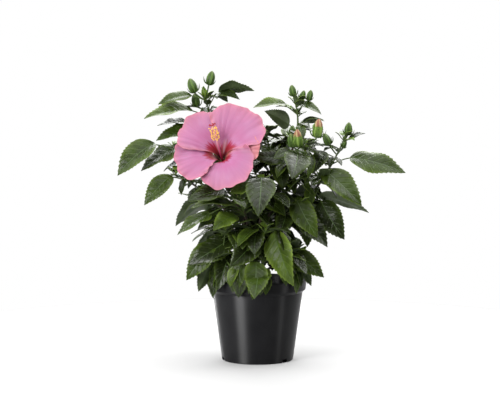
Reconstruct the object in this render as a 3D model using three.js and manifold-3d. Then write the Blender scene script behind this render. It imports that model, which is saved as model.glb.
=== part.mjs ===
// A pink hibiscus in a 13 cm nursery pot, in millimetres, +Z up.
// The origin is the centre of the pot's flat underside, and the bloom faces -Y.
// A short trunk forks into boughs, each bough ends where its shoot begins, and each shoot with its leaves
// and buds is one solid. Neighbouring solids keep GAP between them.
import * as THREE from "three";
import { mergeVertices } from "three/addons/utils/BufferGeometryUtils.js";
import Module from "manifold-3d";

const wasm = await Module();
wasm.setup();

// ---- driving dimensions ---------------------------------------------------------------------------------

const GAP = 0.3; // clearance between neighbouring solids
const DEGREE = Math.PI / 180;
const FRONT = -90; // azimuth of -Y

const POT_HEIGHT = 107;
const POT_FOOT_RADIUS = 47; // flat underside
const POT_WALL_TOP_RADIUS = 59.5; // just under the rim band
const POT_WALL = 1.2;
const POT_FLOOR = 2;
const RIM_RADIUS = 65;
const RIM_BAND = 16.5; // height of the rolled rim band
const RIM_STEP = 3; // slope that brings the band back to the wall
const RIM_DRAFT = 1.7; // how far the band widens upwards
const RIM_WALL = 2.2;
const RIM_BEVEL = 1;
const POT_SIDES = 36;
const NOTCH = { wide: 9, tall: 4.5, deep: 9, turns: [78, 198, 318] }; // drainage notches at the foot

const SOIL_TOP = 93; // 14 mm below the rim
const TRUNK_FOOT = [3, 5, SOIL_TOP + GAP];
const TRUNK_FORK = [-3, 4, 150];
const TRUNK = { foot: 4.6, fork: 3.7, flare: 2.6, flareFade: 9, sides: 10, steps: 8 };

const BOUGH = { sides: 6, steps: 4, rise: 0.35 }; // rise: share of its climb made by its midpoint handle
const STEM = { sides: 4, steps: 2, tip: 0.8 };

// A leaf or bud is one solid with its stalk: rings of four or five points from the stem to the tip.
const STALK_RADIUS = 0.75;
const ROOT_LIMIT = 0.95; // the last place on a stem where a stalk can sink in
const LEAF = {
  places: [0.3, 0.68], widths: [1, 0.74], // where along the blade, and the share of its half width there
  slender: 0.27, thick: 1.1, fold: 0.3, arch: 0.07, seat: 0.06,
};
const RULE_LEAF = { ...LEAF, places: [0.42], widths: [1] };
const BUD = { sides: 5, places: [0.3, 0.75], widths: [1, 0.62], slender: 0.27 };
// the growth rule's numbers; a swing is drawn either way
const RULE = {
  turn: 137.5, turnSwing: 70, outward: 0.8, // the turn to the next leaf, and its share off the outward side
  taper: 0.35, lengthSwing: 0.14, // how much shorter the youngest leaf is
  youngRise: 25, riseSwing: 14,
  stalk: 0.4, stalkRise: 25, stalkSwing: 15, // the stalk's share of the leaf's length
  lean: 0.45, leanSwing: 0.2,
};

// Bloom: petals spread from a funnel whose foot sits on the calyx.
const BLOOM_FOOT = [-46, -20, 264];
const BLOOM_FACING = [-0.1, -0.87, 0.48];
const FUNNEL = [[3.5, 0.4], [10, 25], [36, 35], [62, 29]]; // Bezier handles: radius, height
const PETAL = {
  thick: 0.8, columns: 6, rows: 7,
  claw: 22, opening: 1.7, // half the spread at its foot, and how soon it opens from there
  rounding: 0.2, // how much shorter it is at its edges
  lift: 2.65, // how far an overlapping edge stands off the bloom's surface
  ruffle: 1.0, ruffles: 9, // height of the margin's waves, and their number round the bloom
};
// each petal's angle round the bloom, half its spread, its reach, and which edges lie over its neighbours
const PETALS = [
  { name: "petal_right", angle: 2, spread: 34, reach: 0.86, edges: [-1, -1] },
  { name: "petal_upper_right", angle: 57, spread: 52, reach: 1.07, edges: [1, 1] },
  { name: "petal_upper_left", angle: 135, spread: 47, reach: 1.0, edges: [-1, 1] },
  { name: "petal_lower_left", angle: 205, spread: 44, reach: 0.97, edges: [-1, 1] },
  { name: "petal_bottom", angle: 287, spread: 48, reach: 0.94, edges: [-1, 1] },
];
const COLUMN = {
  tip: [-58, -50, 308], rise: 26, radius: 1.7, foot: 1.1, taper: 0.45, sides: 7, steps: 7,
  brush: { radius: 4.6, from: 0.6, to: 0.95, dents: 0.72, sides: 8, steps: 5 },
  stigmas: { count: 5, from: 0.97, spread: 3, rise: 2, arm: 0.5, knob: 1.1 },
};
const CALYX = {
  cup: [[0, -12], [1.5, -12], [3.6, -8], [6, -2], [12.2, 11], [11.4, 11], [5.2, 0], [0, 0]],
  sides: 12,
};
const BLOOM_STALK = {
  from: "top_left", at: 0.42, radii: [1.6, 2.0], sides: 7, steps: 6,
  seat: 10, sweep: 24, // how far behind the bloom's foot it ends, and where its curve is drawn to
};

// Boughs and their shoots: the limb that a bough leaves and how far along it, the bough's end, the shoot's
// tip, and how many leaves the growth rule adds, their length and how far the oldest of them hang.
// posed: leaves with a place of their own: [along the stem, azimuth, stalk, stalk's rise, blade's rise,
// length, lean of the upper side, azimuth it leans to (the front where left out)].
// buds: [along the stem, azimuth, stalk, stalk's rise, bud's rise, length].
const SHOOTS = {
  top_left: {
    from: "trunk", at: 1, end: [-61, 22, 314], tip: [-69, 12, 343], fill: 4, leaf: 26, hang: -20,
    posed: [
      [1, 190, 20, 20, -15, 46, 0.33], [0.2, 195, 26, 20, -10, 66, 0.31], [0.3, 190, 32, -20, -5, 40, 0.3],
      [0.12, 200, 24, -35, -15, 58, 0.37], [0.6, -30, 24, 60, -15, 38, 0.3],
      [0.9, -10, 22, 40, 0, 48, 0.4, 90], [1, 120, 5, 60, 75, 16, 0.3], [1, 240, 5, 50, 65, 15, 0.3],
    ],
    buds: [[1, 10, 21, 79, 75, 20], [1, 180, 18, 34, 72, 21], [0.5, 180, 16, 15, 80, 19]],
  },
  right_top: {
    from: "trunk", at: 0.97, end: [50, 15, 290], tip: [50, 9, 338], fill: 4, leaf: 26, hang: -20,
    posed: [
      [0.7, 190, 20, 40, -5, 44, 0.33], [0.2, 145, 16, 40, 25, 44, 0.7, 90], [0.9, -15, 6, 40, -25, 32, 0.4],
      [0.4, 0, 8, 40, 5, 28, 0.45, 90], [0.2, 60, 14, 30, -5, 42, 0.3], [0.8, 180, 6, 30, 10, 20, 0.3],
      [1, -100, 4, 50, 60, 14, 0.3],
    ],
    buds: [[1, 180, 12, 75, 80, 16], [0.9, 5, 12, 58, 70, 13], [0.8, -5, 20, 42, 75, 15]],
  },
  right_far: {
    from: "trunk", at: 0.74, end: [93, 5, 250], tip: [114, 4, 291], fill: 3, leaf: 20, hang: -20,
    posed: [
      [0.2, -15, 26, 20, -15, 76, 0.43], [0.4, -130, 26, 20, -50, 38, 0.5], [0.8, -15, 12, 40, 20, 24, 0.4],
      [0.9, -60, 8, 20, 0, 20, 0.3],
    ],
    buds: [[1, 0, 9, 50, 85, 18], [0.5, 180, 16, 52, 65, 18], [0.5, -20, 12, 50, 60, 11]],
  },
  back_right: {
    from: "trunk", at: 0.88, end: [38, 58, 262], tip: [46, 80, 288], fill: 9, leaf: 50, hang: -35,
    posed: [[0.6, 60, 20, 20, -15, 60, 0.4, 90], [0.3, 110, 20, 20, -30, 58, 0.5, 90]],
    buds: [[1, 60, 8, 70, 75, 16]],
  },
  left_high: {
    from: "top_left", at: 0.52, end: [-84, 24, 259], tip: [-110, 12, 276], fill: 3, leaf: 26, hang: -30,
    posed: [[0.9, 200, 32, 20, -40, 66, 0.4], [0.5, 205, 14, 60, -30, 64, 0.4]],
    buds: [],
  },
  left_low: {
    from: "top_left", at: 0.26, end: [-76, 4, 224], tip: [-110, -6, 244], fill: 4, leaf: 26, hang: -30,
    posed: [
      [0.4, 205, 28, 20, -45, 54, 0.42], [0.3, 150, 34, 60, -25, 32, 0.4],
      [0.5, -110, 8, 40, -55, 28, 0.5, 200],
    ],
    buds: [],
  },
  back_left: {
    from: "top_left", at: 0.18, end: [-30, 54, 262], tip: [-40, 74, 289], fill: 9, leaf: 50, hang: -35,
    posed: [[0.6, 120, 20, 20, -15, 60, 0.4, 90], [0.3, 160, 20, 20, -20, 54, 0.3, 90]],
    buds: [[1, 100, 8, 70, 75, 16]],
  },
  left_front: {
    from: "trunk", at: 0.8, end: [-15, -30, 189], tip: [-28, -48, 214], fill: 6, leaf: 38, hang: -35,
    posed: [
      [0.9, 200, 22, 40, -15, 52, 0.4], [0.4, 200, 8, 20, 0, 64, 0.25], [0.8, 200, 40, -20, -30, 52, 0.3],
      [0.2, 200, 38, 0, -35, 32, 0.5], [0.12, 230, 18, 0, -20, 48, 0.5], [1, -60, 14, 20, 30, 16, 0.3],
    ],
    buds: [],
  },
  centre_front: {
    from: "trunk", at: 0.94, end: [6, -22, 205], tip: [5, -44, 234], fill: 7, leaf: 40, hang: -35,
    posed: [[1, -95, 14, 40, -45, 66, 0.8], [1, 205, 10, 20, -20, 38, 0.7], [0.12, -45, 8, 20, -30, 38, 0.6]],
    buds: [],
  },
  centre_top: {
    from: "right_top", at: 0.42, end: [17, 20, 262], tip: [12, 16, 296], fill: 9, leaf: 42, hang: -30,
    posed: [[0.7, 200, 18, 20, 0, 42, 0.5], [0.4, 215, 20, 10, -20, 46, 0.7]],
    buds: [],
  },
  right_centre: {
    from: "right_top", at: 0.6, end: [55, -14, 257], tip: [62, -29, 280], fill: 5, leaf: 28, hang: -30,
    posed: [
      [0.3, 180, 26, 0, 5, 38, 0.6], [0.5, -140, 24, 20, -20, 32, 0.5], [0.12, -100, 36, 20, -30, 60, 0.8],
      [0.7, -85, 8, 40, -60, 42, 0.4, 0],
    ],
    buds: [[1, 0, 20, 43, 84, 25], [1, 180, 9, 12, 85, 23], [0.7, 180, 17, 25, 80, 19]],
  },
  right_mid: {
    from: "right_far", at: 0.52, end: [69, -6, 224], tip: [86, -17, 240], fill: 4, leaf: 36, hang: -35,
    posed: [
      [0.12, -30, 22, -50, -55, 60, 0.8], [0.3, -30, 26, 50, -40, 70, 0.4],
      [0.12, 5, 14, -40, -20, 70, 0.35, 90],
    ],
    buds: [],
  },
  right_low: {
    from: "right_far", at: 0.16, end: [38, -14, 190], tip: [56, -30, 204], fill: 6, leaf: 38, hang: -40,
    posed: [
      [0.2, -50, 24, 50, -50, 62, 0.6], [0.12, -25, 12, -20, -40, 58, 0.5],
      [0.3, -110, 16, -10, -40, 42, 0.5],
    ],
    buds: [],
  },
  front_left: {
    from: "trunk", at: 0.5, end: [-23, -30, 160], tip: [-45, -47, 168], fill: 6, leaf: 44, hang: -45,
    posed: [
      [0.3, 195, 8, -20, -30, 66, 0.6], [0.5, 190, 30, -20, -55, 58, 0.6], [0.4, -90, 16, 20, -30, 38, 0.8],
    ],
    buds: [],
  },
  front_mid: {
    from: "trunk", at: 0.56, end: [5, -36, 161], tip: [9, -58, 172], fill: 6, leaf: 44, hang: -45,
    posed: [
      [0.5, 170, 8, 20, 20, 28, 0.1], [0.12, 225, 10, 0, -35, 58, 0.7],
      [0.2, -50, 24, 20, -60, 76, 0.8, -130], [0.6, -45, 26, 20, -60, 40, 0.7, -50],
    ],
    buds: [],
  },
  skirt_left: {
    from: "trunk", at: 0.25, end: [-28, -24, 134], tip: [-48, -40, 140], fill: 5, leaf: 48, hang: -50,
    posed: [[0.3, 200, 26, 0, -65, 48, 0.5, 90], [0.12, 235, 14, 50, -60, 56, 0.8]],
    buds: [],
  },
  skirt_front: {
    from: "trunk", at: 0.2, end: [2, -36, 132], tip: [6, -56, 138], fill: 4, leaf: 46, hang: -50,
    posed: [
      [0.12, -120, 18, 0, -60, 44, 0.5, 180], [0.3, -100, 28, 0, -60, 52, 0.7],
      [0.12, -75, 20, -20, -30, 66, 0.8],
    ],
    buds: [],
  },
  skirt_right: {
    from: "trunk", at: 0.3, end: [30, -22, 136], tip: [50, -36, 144], fill: 7, leaf: 46, hang: -50,
    posed: [
      [0.2, -85, 20, 20, -75, 44, 0.7], [0.4, -20, 8, 20, -35, 54, 0.7],
      [0.2, -30, 22, -20, -55, 36, 0.5, 90],
    ],
    buds: [],
  },
  back_low_left: {
    from: "trunk", at: 0.62, end: [-44, 38, 189], tip: [-70, 54, 196], fill: 9, leaf: 50, hang: -50,
    posed: [[0.6, 150, 18, 20, -35, 58, 0.4, 90]],
    buds: [],
  },
  back_low: {
    from: "trunk", at: 0.35, end: [-3, 44, 150], tip: [-3, 70, 158], fill: 9, leaf: 52, hang: -55,
    posed: [[0.6, 90, 16, 20, -50, 60, 0.5, 90]],
    buds: [],
  },
  back_low_right: {
    from: "trunk", at: 0.68, end: [44, 38, 182], tip: [72, 54, 190], fill: 9, leaf: 50, hang: -50,
    posed: [[0.6, 35, 18, 20, -40, 58, 0.4, 90]],
    buds: [],
  },
};

// Boughs are thickest where many others leave them.
const LEADERS = {
  top_left: [3.1, 1.7], right_top: [3.0, 1.6], right_far: [2.6, 1.5], back_right: [2.4, 1.5],
};
const SIDE_BOUGH = [1.9, 1.3];

// Turns and lifts tried in order when a leaf meets a neighbour; the last failure leaves the leaf out.
const SWAYS = [
  [0, 0], [10, 0], [-10, 0], [0, 10], [0, -10], [20, 0], [-20, 0], [0, 20], [0, -20], [30, 10], [-30, 10],
];

// ---- materials ------------------------------------------------------------------------------------------

const finish = (color, roughness) => new THREE.MeshStandardMaterial({ color, roughness, metalness: 0 });
const blackPlastic = finish(0x1f1f20, 0.45);
const peat = finish(0x2a1d14, 0.95);
const bark = finish(0x6b5a48, 0.85);
const foliageGreen = finish(0x33501f, 0.4);
const calyxGreen = finish(0x5d7f3a, 0.55);
const petalPink = finish(0xe07fb4, 0.6);
const antherYellow = finish(0xf0c050, 0.7);

// ---- solids and curves ----------------------------------------------------------------------------------

const vec = (p) => new THREE.Vector3(...p);
const mix = (a, b, t) => a + (b - a) * t;

// a closed three.js geometry as a solid that can be joined and cut
function solidOf(geometry) {
  const bare = geometry.clone();
  bare.deleteAttribute("normal");
  bare.deleteAttribute("uv");
  const merged = mergeVertices(bare, 1e-4);
  const vertProperties = merged.attributes.position.array;
  const triVerts = new Uint32Array(merged.index.array);
  return new wasm.Manifold(new wasm.Mesh({ numProp: 3, vertProperties, triVerts }));
}

function meshOf(name, solid, material) {
  const { vertProperties, triVerts } = solid.getMesh();
  const geometry = new THREE.BufferGeometry();
  geometry.setAttribute("position", new THREE.BufferAttribute(vertProperties, 3));
  geometry.setIndex(new THREE.BufferAttribute(triVerts, 1));
  geometry.computeVertexNormals();
  const mesh = new THREE.Mesh(geometry, material);
  mesh.name = name;
  return mesh;
}

// moves every vertex of a geometry by a rule
function mapped(geometry, rule) {
  const position = geometry.getAttribute("position");
  const point = new THREE.Vector3();
  for (let i = 0; i < position.count; i += 1) {
    point.fromBufferAttribute(position, i);
    position.setXYZ(i, ...rule(point).toArray());
  }
  return geometry;
}

// the biggest closed piece of a join; sealed hollows and loose scraps are dropped
function biggest(solid) {
  return solid.decompose().reduce((best, piece) => (piece.volume() > best.volume() ? piece : best));
}

function join(solids) {
  return solids.reduce((sum, next) => sum.add(next));
}

function direction(azimuth, elevation) {
  const flat = Math.cos(elevation * DEGREE);
  return new THREE.Vector3(
    Math.cos(azimuth * DEGREE) * flat,
    Math.sin(azimuth * DEGREE) * flat,
    Math.sin(elevation * DEGREE),
  );
}

// across-vectors that follow a curve without twisting
function framesAlong(curve, steps) {
  const frames = [];
  let across = null;
  for (let i = 0; i <= steps; i += 1) {
    const tangent = curve.getTangent(i / steps).normalize();
    if (!across) across = Math.abs(tangent.x) < 0.8 ? new THREE.Vector3(1, 0, 0) : new THREE.Vector3(0, 1, 0);
    across = across.clone().addScaledVector(tangent, -across.dot(tangent)).normalize();
    frames.push({ point: curve.getPoint(i / steps), across, up: across.clone().cross(tangent) });
  }
  return frames;
}

// a tube of changing radius along a curve
function limb(curve, radiusAt, sides, steps) {
  const frames = framesAlong(curve, steps);
  return solidOf(
    mapped(new THREE.CylinderGeometry(1, 1, 1, sides, steps), (p) => {
      const along = p.y + 0.5;
      const { point, across, up } = frames[Math.round(along * steps)];
      const radius = radiusAt(along);
      return point.clone().addScaledVector(across, p.x * radius).addScaledVector(up, p.z * radius);
    }),
  );
}

// ---- pot and soil ---------------------------------------------------------------------------------------

const bandFoot = POT_HEIGHT - RIM_BAND;
const wallRadius = (z) => mix(POT_FOOT_RADIUS, POT_WALL_TOP_RADIUS, z / bandFoot);
const innerRadius = (z) => wallRadius(z) - POT_WALL;
const latheOf = (profile, sides) =>
  new THREE.LatheGeometry(profile.map(([r, z]) => new THREE.Vector2(r, z)), sides);

function makePot() {
  const shell = latheOf([
    [0, 0], [POT_FOOT_RADIUS, 0], [POT_WALL_TOP_RADIUS, bandFoot],
    [RIM_RADIUS - RIM_DRAFT, bandFoot + RIM_STEP],
    [RIM_RADIUS, POT_HEIGHT - RIM_BEVEL], [RIM_RADIUS - RIM_BEVEL, POT_HEIGHT],
    [RIM_RADIUS - RIM_WALL, POT_HEIGHT], [innerRadius(bandFoot) + RIM_STEP / 2, bandFoot + RIM_STEP],
    [innerRadius(bandFoot), bandFoot], [innerRadius(POT_FLOOR), POT_FLOOR], [0, POT_FLOOR],
  ], POT_SIDES);
  const notches = NOTCH.turns.map((turn) =>
    solidOf(
      new THREE.BoxGeometry(NOTCH.deep, NOTCH.wide, NOTCH.tall * 2)
        .translate(POT_FOOT_RADIUS, 0, 0)
        .rotateZ(turn * DEGREE),
    ),
  );
  return notches.reduce((pot, notch) => pot.subtract(notch), solidOf(shell.rotateX(90 * DEGREE)));
}

function makeSoil() {
  const foot = POT_FLOOR + GAP;
  const edge = (z) => innerRadius(z) - GAP * 1.5;
  const profile = [
    [0, foot], [edge(foot), foot], [edge(bandFoot), bandFoot], [edge(bandFoot), SOIL_TOP], [0, SOIL_TOP],
  ];
  return solidOf(latheOf(profile, POT_SIDES).rotateX(90 * DEGREE));
}

// ---- trunk and boughs -----------------------------------------------------------------------------------

const trunkRadius = (s) => mix(TRUNK.foot, TRUNK.fork, s) + TRUNK.flare * Math.exp(-TRUNK.flareFade * s);

// the trunk's rings are level, so that its foot is a flat cut on the soil
function makeTrunk(extra) {
  return solidOf(
    mapped(new THREE.CylinderGeometry(1, 1, 1, TRUNK.sides, TRUNK.steps), (p) => {
      const along = p.y + 0.5;
      const radius = trunkRadius(along) + extra;
      const centre = vec(TRUNK_FOOT).lerp(vec(TRUNK_FORK), along);
      return centre.add(new THREE.Vector3(p.x * radius, -p.z * radius, extra * Math.sign(p.y)));
    }),
  );
}

const boughCurves = {};
function boughCurve(name) {
  if (boughCurves[name]) return boughCurves[name];
  const { from, at, end } = SHOOTS[name];
  const start = from === "trunk" ? vec(TRUNK_FOOT).lerp(vec(TRUNK_FORK), at) : boughCurve(from).getPoint(at);
  const goal = vec(end);
  const handle = start.clone().lerp(goal, 0.5).setZ(mix(start.z, goal.z, BOUGH.rise));
  boughCurves[name] = new THREE.QuadraticBezierCurve3(start, handle, goal);
  return boughCurves[name];
}

const boughRadii = (name) => LEADERS[name] || SIDE_BOUGH;

function boughTube(name, extra) {
  const [foot, tip] = boughRadii(name);
  return limb(boughCurve(name), (s) => mix(foot, tip, s) + extra, BOUGH.sides, BOUGH.steps);
}

// the shoot's stem goes on from its bough's tip in the same direction
function stemCurve(name) {
  const bough = boughCurve(name);
  const heading = bough.getTangent(1);
  const tip = vec(SHOOTS[name].tip);
  const start = bough.v2.clone().addScaledVector(heading, GAP);
  const handle = start.clone().addScaledVector(heading, tip.distanceTo(start) / 2);
  return new THREE.QuadraticBezierCurve3(start, handle, tip);
}

// ---- leaves and buds ------------------------------------------------------------------------------------

// across, along and upper-side vectors round a heading
function frameFacing(along, facing) {
  const upper = facing.clone().addScaledVector(along, -facing.dot(along)).normalize();
  return { along, upper, across: upper.clone().cross(along) };
}

// One closed solid through rings of points. A ring is { centre, frame, half, lift, thick }: its side points
// stand half off the centre and lift above it, its upper and lower points half the thickness away.
function ringedSolid(rings, sides) {
  const last = rings.length - 1;
  return solidOf(
    mapped(new THREE.SphereGeometry(1, sides, last), (p) => {
      const index = Math.round((Math.acos(THREE.MathUtils.clamp(p.y, -1, 1)) / Math.PI) * last);
      const { centre, frame, half, lift, thick } = rings[index];
      if (index === 0 || index === last) return centre.clone();
      const round = Math.hypot(p.x, p.z);
      const side = p.x / round;
      return centre.clone()
        .addScaledVector(frame.across, side * half)
        .addScaledVector(frame.upper, Math.abs(side) * lift + ((p.z / round) * thick) / 2);
    }),
  );
}

// the stalk's two rings, and the pole where it starts inside the stem
function stalkRings(root, seat, frame, radius) {
  const heading = seat.clone().sub(root).normalize();
  const own = frameFacing(heading, heading.clone().cross(frame.across));
  own.across.multiplyScalar(Math.sign(own.across.dot(frame.across)));
  own.upper = heading.clone().cross(own.across);
  const bend = frameFacing(heading.clone().add(frame.along).normalize(), own.upper.clone().add(frame.upper));
  const ring = (centre, ownFrame) => ({ centre, frame: ownFrame, half: radius, lift: 0, thick: radius * 2 });
  return [{ centre: root }, ring(root.clone().addScaledVector(heading, radius), own), ring(seat, bend)];
}

function leafSolid(leaf, extra) {
  const { root, base, length, frame, form } = leaf;
  const midrib = (s) => base.clone()
    .addScaledVector(frame.along, length * s)
    .addScaledVector(frame.upper, form.arch * length * 4 * s * (1 - s));
  const blade = form.places.map((s, i) => {
    const half = form.widths[i] * form.slender * length;
    const thick = form.thick + 2 * extra;
    return { centre: midrib(s), frame, half: half + extra, lift: form.fold * half, thick };
  });
  const stalk = stalkRings(root, midrib(form.seat), frame, STALK_RADIUS + extra);
  const tip = { centre: midrib(1).addScaledVector(frame.along, extra) };
  return ringedSolid([...stalk, ...blade, tip], 4);
}

function budSolid(bud, extra) {
  const { root, base, length, frame } = bud;
  const swell = BUD.places.map((s, i) => {
    const half = BUD.widths[i] * BUD.slender * length + extra;
    const centre = base.clone().addScaledVector(frame.along, length * s);
    return { centre, frame, half, lift: 0, thick: 2 * half };
  });
  const tip = { centre: base.clone().addScaledVector(frame.along, length + extra) };
  return ringedSolid([...stalkRings(root, base, frame, STALK_RADIUS + extra), ...swell, tip], BUD.sides);
}

// ---- bloom ----------------------------------------------------------------------------------------------

const bloomAxis = vec(BLOOM_FACING).normalize();
const bloomRight = new THREE.Vector3(0, 0, 1).cross(bloomAxis).normalize();
const bloomUp = bloomAxis.clone().cross(bloomRight);
const funnel = new THREE.CubicBezierCurve(...FUNNEL.map(([r, h]) => new THREE.Vector2(r, h)));

// a point of the bloom: angle round its axis, place along the funnel's profile, distance off its surface
function bloomPoint(angle, t, off) {
  const place = funnel.getPoint(t);
  const slope = funnel.getTangent(t);
  const radius = place.x - slope.y * off;
  const height = place.y + slope.x * off;
  return vec(BLOOM_FOOT)
    .addScaledVector(bloomRight, Math.cos(angle * DEGREE) * radius)
    .addScaledVector(bloomUp, Math.sin(angle * DEGREE) * radius)
    .addScaledVector(bloomAxis, height);
}

function makePetal(petal) {
  return solidOf(
    mapped(new THREE.BoxGeometry(1, 1, 1, PETAL.columns, PETAL.rows, 1), (p) => {
      const side = -2 * p.x; // -1 … 1 across, turning left as seen from the front
      const v = p.y + 0.5; // 0 … 1 from its foot to its margin
      const spread = mix(PETAL.claw, petal.spread, Math.min(1, v * PETAL.opening) ** 0.8);
      const edge = side < 0 ? petal.edges[0] : petal.edges[1];
      const reach = petal.reach * (1 - PETAL.rounding * Math.abs(side) ** 3);
      const lift = edge * PETAL.lift * Math.abs(side) * Math.min(1, v * 3);
      const angle = petal.angle + spread * side;
      const ruffle = PETAL.ruffle * v ** 4 * Math.sin(PETAL.ruffles * angle * DEGREE);
      return bloomPoint(angle, v * reach, lift + ruffle + p.z * PETAL.thick);
    }),
  );
}

function makeCalyx() {
  const shell = latheOf(CALYX.cup, CALYX.sides);
  shell.applyQuaternion(new THREE.Quaternion().setFromUnitVectors(new THREE.Vector3(0, 1, 0), bloomAxis));
  return solidOf(shell.translate(...BLOOM_FOOT));
}

const onBloomAxis = (height) => vec(BLOOM_FOOT).addScaledVector(bloomAxis, height);

function makeBloomStalk() {
  const { from, at, radii, seat, sweep, sides, steps } = BLOOM_STALK;
  const start = boughCurve(from).getPoint(at);
  const curve = new THREE.QuadraticBezierCurve3(start, onBloomAxis(-sweep), onBloomAxis(-seat));
  return limb(curve, (s) => mix(...radii, s), sides, steps);
}

const columnCurve = new THREE.QuadraticBezierCurve3(
  onBloomAxis(GAP), onBloomAxis(COLUMN.rise), vec(COLUMN.tip),
);

// the tube of fused filaments, its brush of anthers and the five stigmas
function makeColumn() {
  const { brush, stigmas } = COLUMN;
  const taper = (s) => COLUMN.radius * (COLUMN.foot - COLUMN.taper * s);
  const rod = limb(columnCurve, taper, COLUMN.sides, COLUMN.steps);
  const { across, up } = framesAlong(columnCurve, 1)[1];
  const anthers = solidOf(
    mapped(new THREE.SphereGeometry(1, brush.sides, brush.steps), (p) => {
      const diagonal = Math.abs(Math.abs(p.x) - Math.abs(p.z)) < 0.1;
      const radius = brush.radius * (diagonal ? brush.dents : 1);
      return columnCurve.getPoint(mix(brush.from, brush.to, (1 - p.y) / 2))
        .addScaledVector(across, p.x * radius)
        .addScaledVector(up, -p.z * radius);
    }),
  );
  const arms = [];
  for (let i = 0; i < stigmas.count; i += 1) {
    const turn = ((i * 360) / stigmas.count) * DEGREE;
    const side = across.clone().multiplyScalar(Math.cos(turn)).addScaledVector(up, Math.sin(turn));
    const knob = vec(COLUMN.tip)
      .addScaledVector(side, stigmas.spread)
      .addScaledVector(columnCurve.getTangent(1), stigmas.rise);
    arms.push(limb(new THREE.LineCurve3(columnCurve.getPoint(stigmas.from), knob), () => stigmas.arm, 3, 1));
    arms.push(solidOf(new THREE.SphereGeometry(stigmas.knob, 4, 2).translate(knob.x, knob.y, knob.z)));
  }
  return join([rod, anthers, ...arms]);
}

// ---- growth ---------------------------------------------------------------------------------------------

// every solid that a new leaf has to stay clear of, with the box round it
const placed = [];
function place(solid, owner) {
  placed.push({ solid, owner, box: solid.boundingBox() });
  return solid;
}

function boxesMeet(a, b) {
  return [0, 1, 2].every((i) => a.min[i] <= b.max[i] && b.min[i] <= a.max[i]);
}

function meets(solid, owner) {
  const box = solid.boundingBox();
  return placed.some((other) => {
    if (other.owner === owner || !boxesMeet(box, other.box)) return false;
    const common = solid.intersect(other.solid);
    const touching = !common.isEmpty();
    common.delete();
    return touching;
  });
}

// the seeded draw of the growth rule: -1 … 1
const DRAW = { seed: 20, factor: 48271, modulus: 2147483647 };
let drawState = DRAW.seed;
function draw() {
  drawState = (drawState * DRAW.factor) % DRAW.modulus;
  return (drawState / DRAW.modulus) * 2 - 1;
}

const stems = {};
const grown = {};

// where a leaf or bud stands: its root in the stem, the foot of its blade, its heading and its upper side
function stance(name, row, sway) {
  const [along, azimuth, stalk, rise, elevation, length, lean = 0.3, leanTo = FRONT] = row;
  const turned = azimuth + sway[0];
  const root = stems[name].getPoint(Math.min(along, ROOT_LIMIT));
  const base = root.clone().addScaledVector(direction(turned, rise), stalk);
  const facing = direction(leanTo, 0).multiplyScalar(lean).add(new THREE.Vector3(0, 0, 1 - lean));
  return { root, base, length, frame: frameFacing(direction(turned, elevation + sway[1]), facing) };
}

// adds the first sway of a leaf or bud that meets no neighbour
function grow(name, row, makeSolid, form) {
  for (const sway of SWAYS) {
    const part = { ...stance(name, row, sway), form };
    const envelope = makeSolid(part, GAP);
    const blocked = meets(envelope, name);
    envelope.delete();
    if (blocked) continue;
    grown[name].push(place(makeSolid(part, 0), name));
    return;
  }
}

// the growth rule: leaves follow each other round the stem, drawn towards the crown's outside; older leaves
// are longer, stand on longer stalks and hang more
function ruleLeaf(name, k) {
  const { fill, leaf, hang, tip } = SHOOTS[name];
  const along = (k + 0.5) / fill;
  const outward = Math.atan2(tip[1], tip[0]) / DEGREE;
  const turn = THREE.MathUtils.euclideanModulo(k * RULE.turn + RULE.turnSwing * draw(), 360) - 180;
  const length = leaf * (1 - RULE.taper * along * along) * (1 + RULE.lengthSwing * draw());
  const elevation = mix(hang, RULE.youngRise, along) + RULE.riseSwing * draw();
  const azimuth = outward + RULE.outward * turn;
  const stalkRise = RULE.stalkRise + RULE.stalkSwing * draw();
  const lean = RULE.lean + RULE.leanSwing * draw();
  return [along, azimuth, length * RULE.stalk, stalkRise, elevation, length, lean, azimuth];
}

const plant = new THREE.Group();
const add = (name, solid, material) => plant.add(meshOf(name, solid, material));

add("pot", place(makePot(), "pot"), blackPlastic);
add("soil", place(makeSoil(), "soil"), peat);

const trunk = place(makeTrunk(0), "trunk");
add("trunk", trunk, bark);

// each limb is cut clear of the limbs made before it
const clearances = [makeTrunk(GAP)];
function cutClear(solid) {
  return biggest(clearances.reduce((rest, other) => rest.subtract(other), solid));
}

for (const name of Object.keys(SHOOTS)) {
  add(`bough_${name}`, place(cutClear(boughTube(name, 0)), `bough_${name}`), bark);
  clearances.push(boughTube(name, GAP));
}
add("bloom_stalk", place(cutClear(join([makeBloomStalk(), makeCalyx()])), "bloom_stalk"), calyxGreen);
PETALS.forEach((petal) => add(petal.name, place(makePetal(petal), petal.name), petalPink));
add("staminal_column", place(makeColumn(), "staminal_column"), antherYellow);

for (const name of Object.keys(SHOOTS)) {
  stems[name] = stemCurve(name);
  const [, foot] = boughRadii(name);
  const stem = limb(stems[name], (s) => mix(foot, STEM.tip, s), STEM.sides, STEM.steps);
  grown[name] = [place(stem, name)];
}
for (const [name, { buds, posed }] of Object.entries(SHOOTS)) {
  buds.forEach((row) => grow(name, row, budSolid));
  posed.forEach((row) => grow(name, row, leafSolid, LEAF));
}
const mostFill = Math.max(...Object.values(SHOOTS).map((shoot) => shoot.fill));
for (let k = 0; k < mostFill; k += 1) {
  for (const name of Object.keys(SHOOTS)) {
    if (k < SHOOTS[name].fill) grow(name, ruleLeaf(name, k), leafSolid, RULE_LEAF);
  }
}
for (const name of Object.keys(SHOOTS)) add(`foliage_${name}`, biggest(join(grown[name])), foliageGreen);

export default plant;
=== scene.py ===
import functools
import math

import bpy
import numpy as np
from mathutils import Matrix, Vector, noise
from mathutils.bvhtree import BVHTree
from mathutils.kdtree import KDTree


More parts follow.
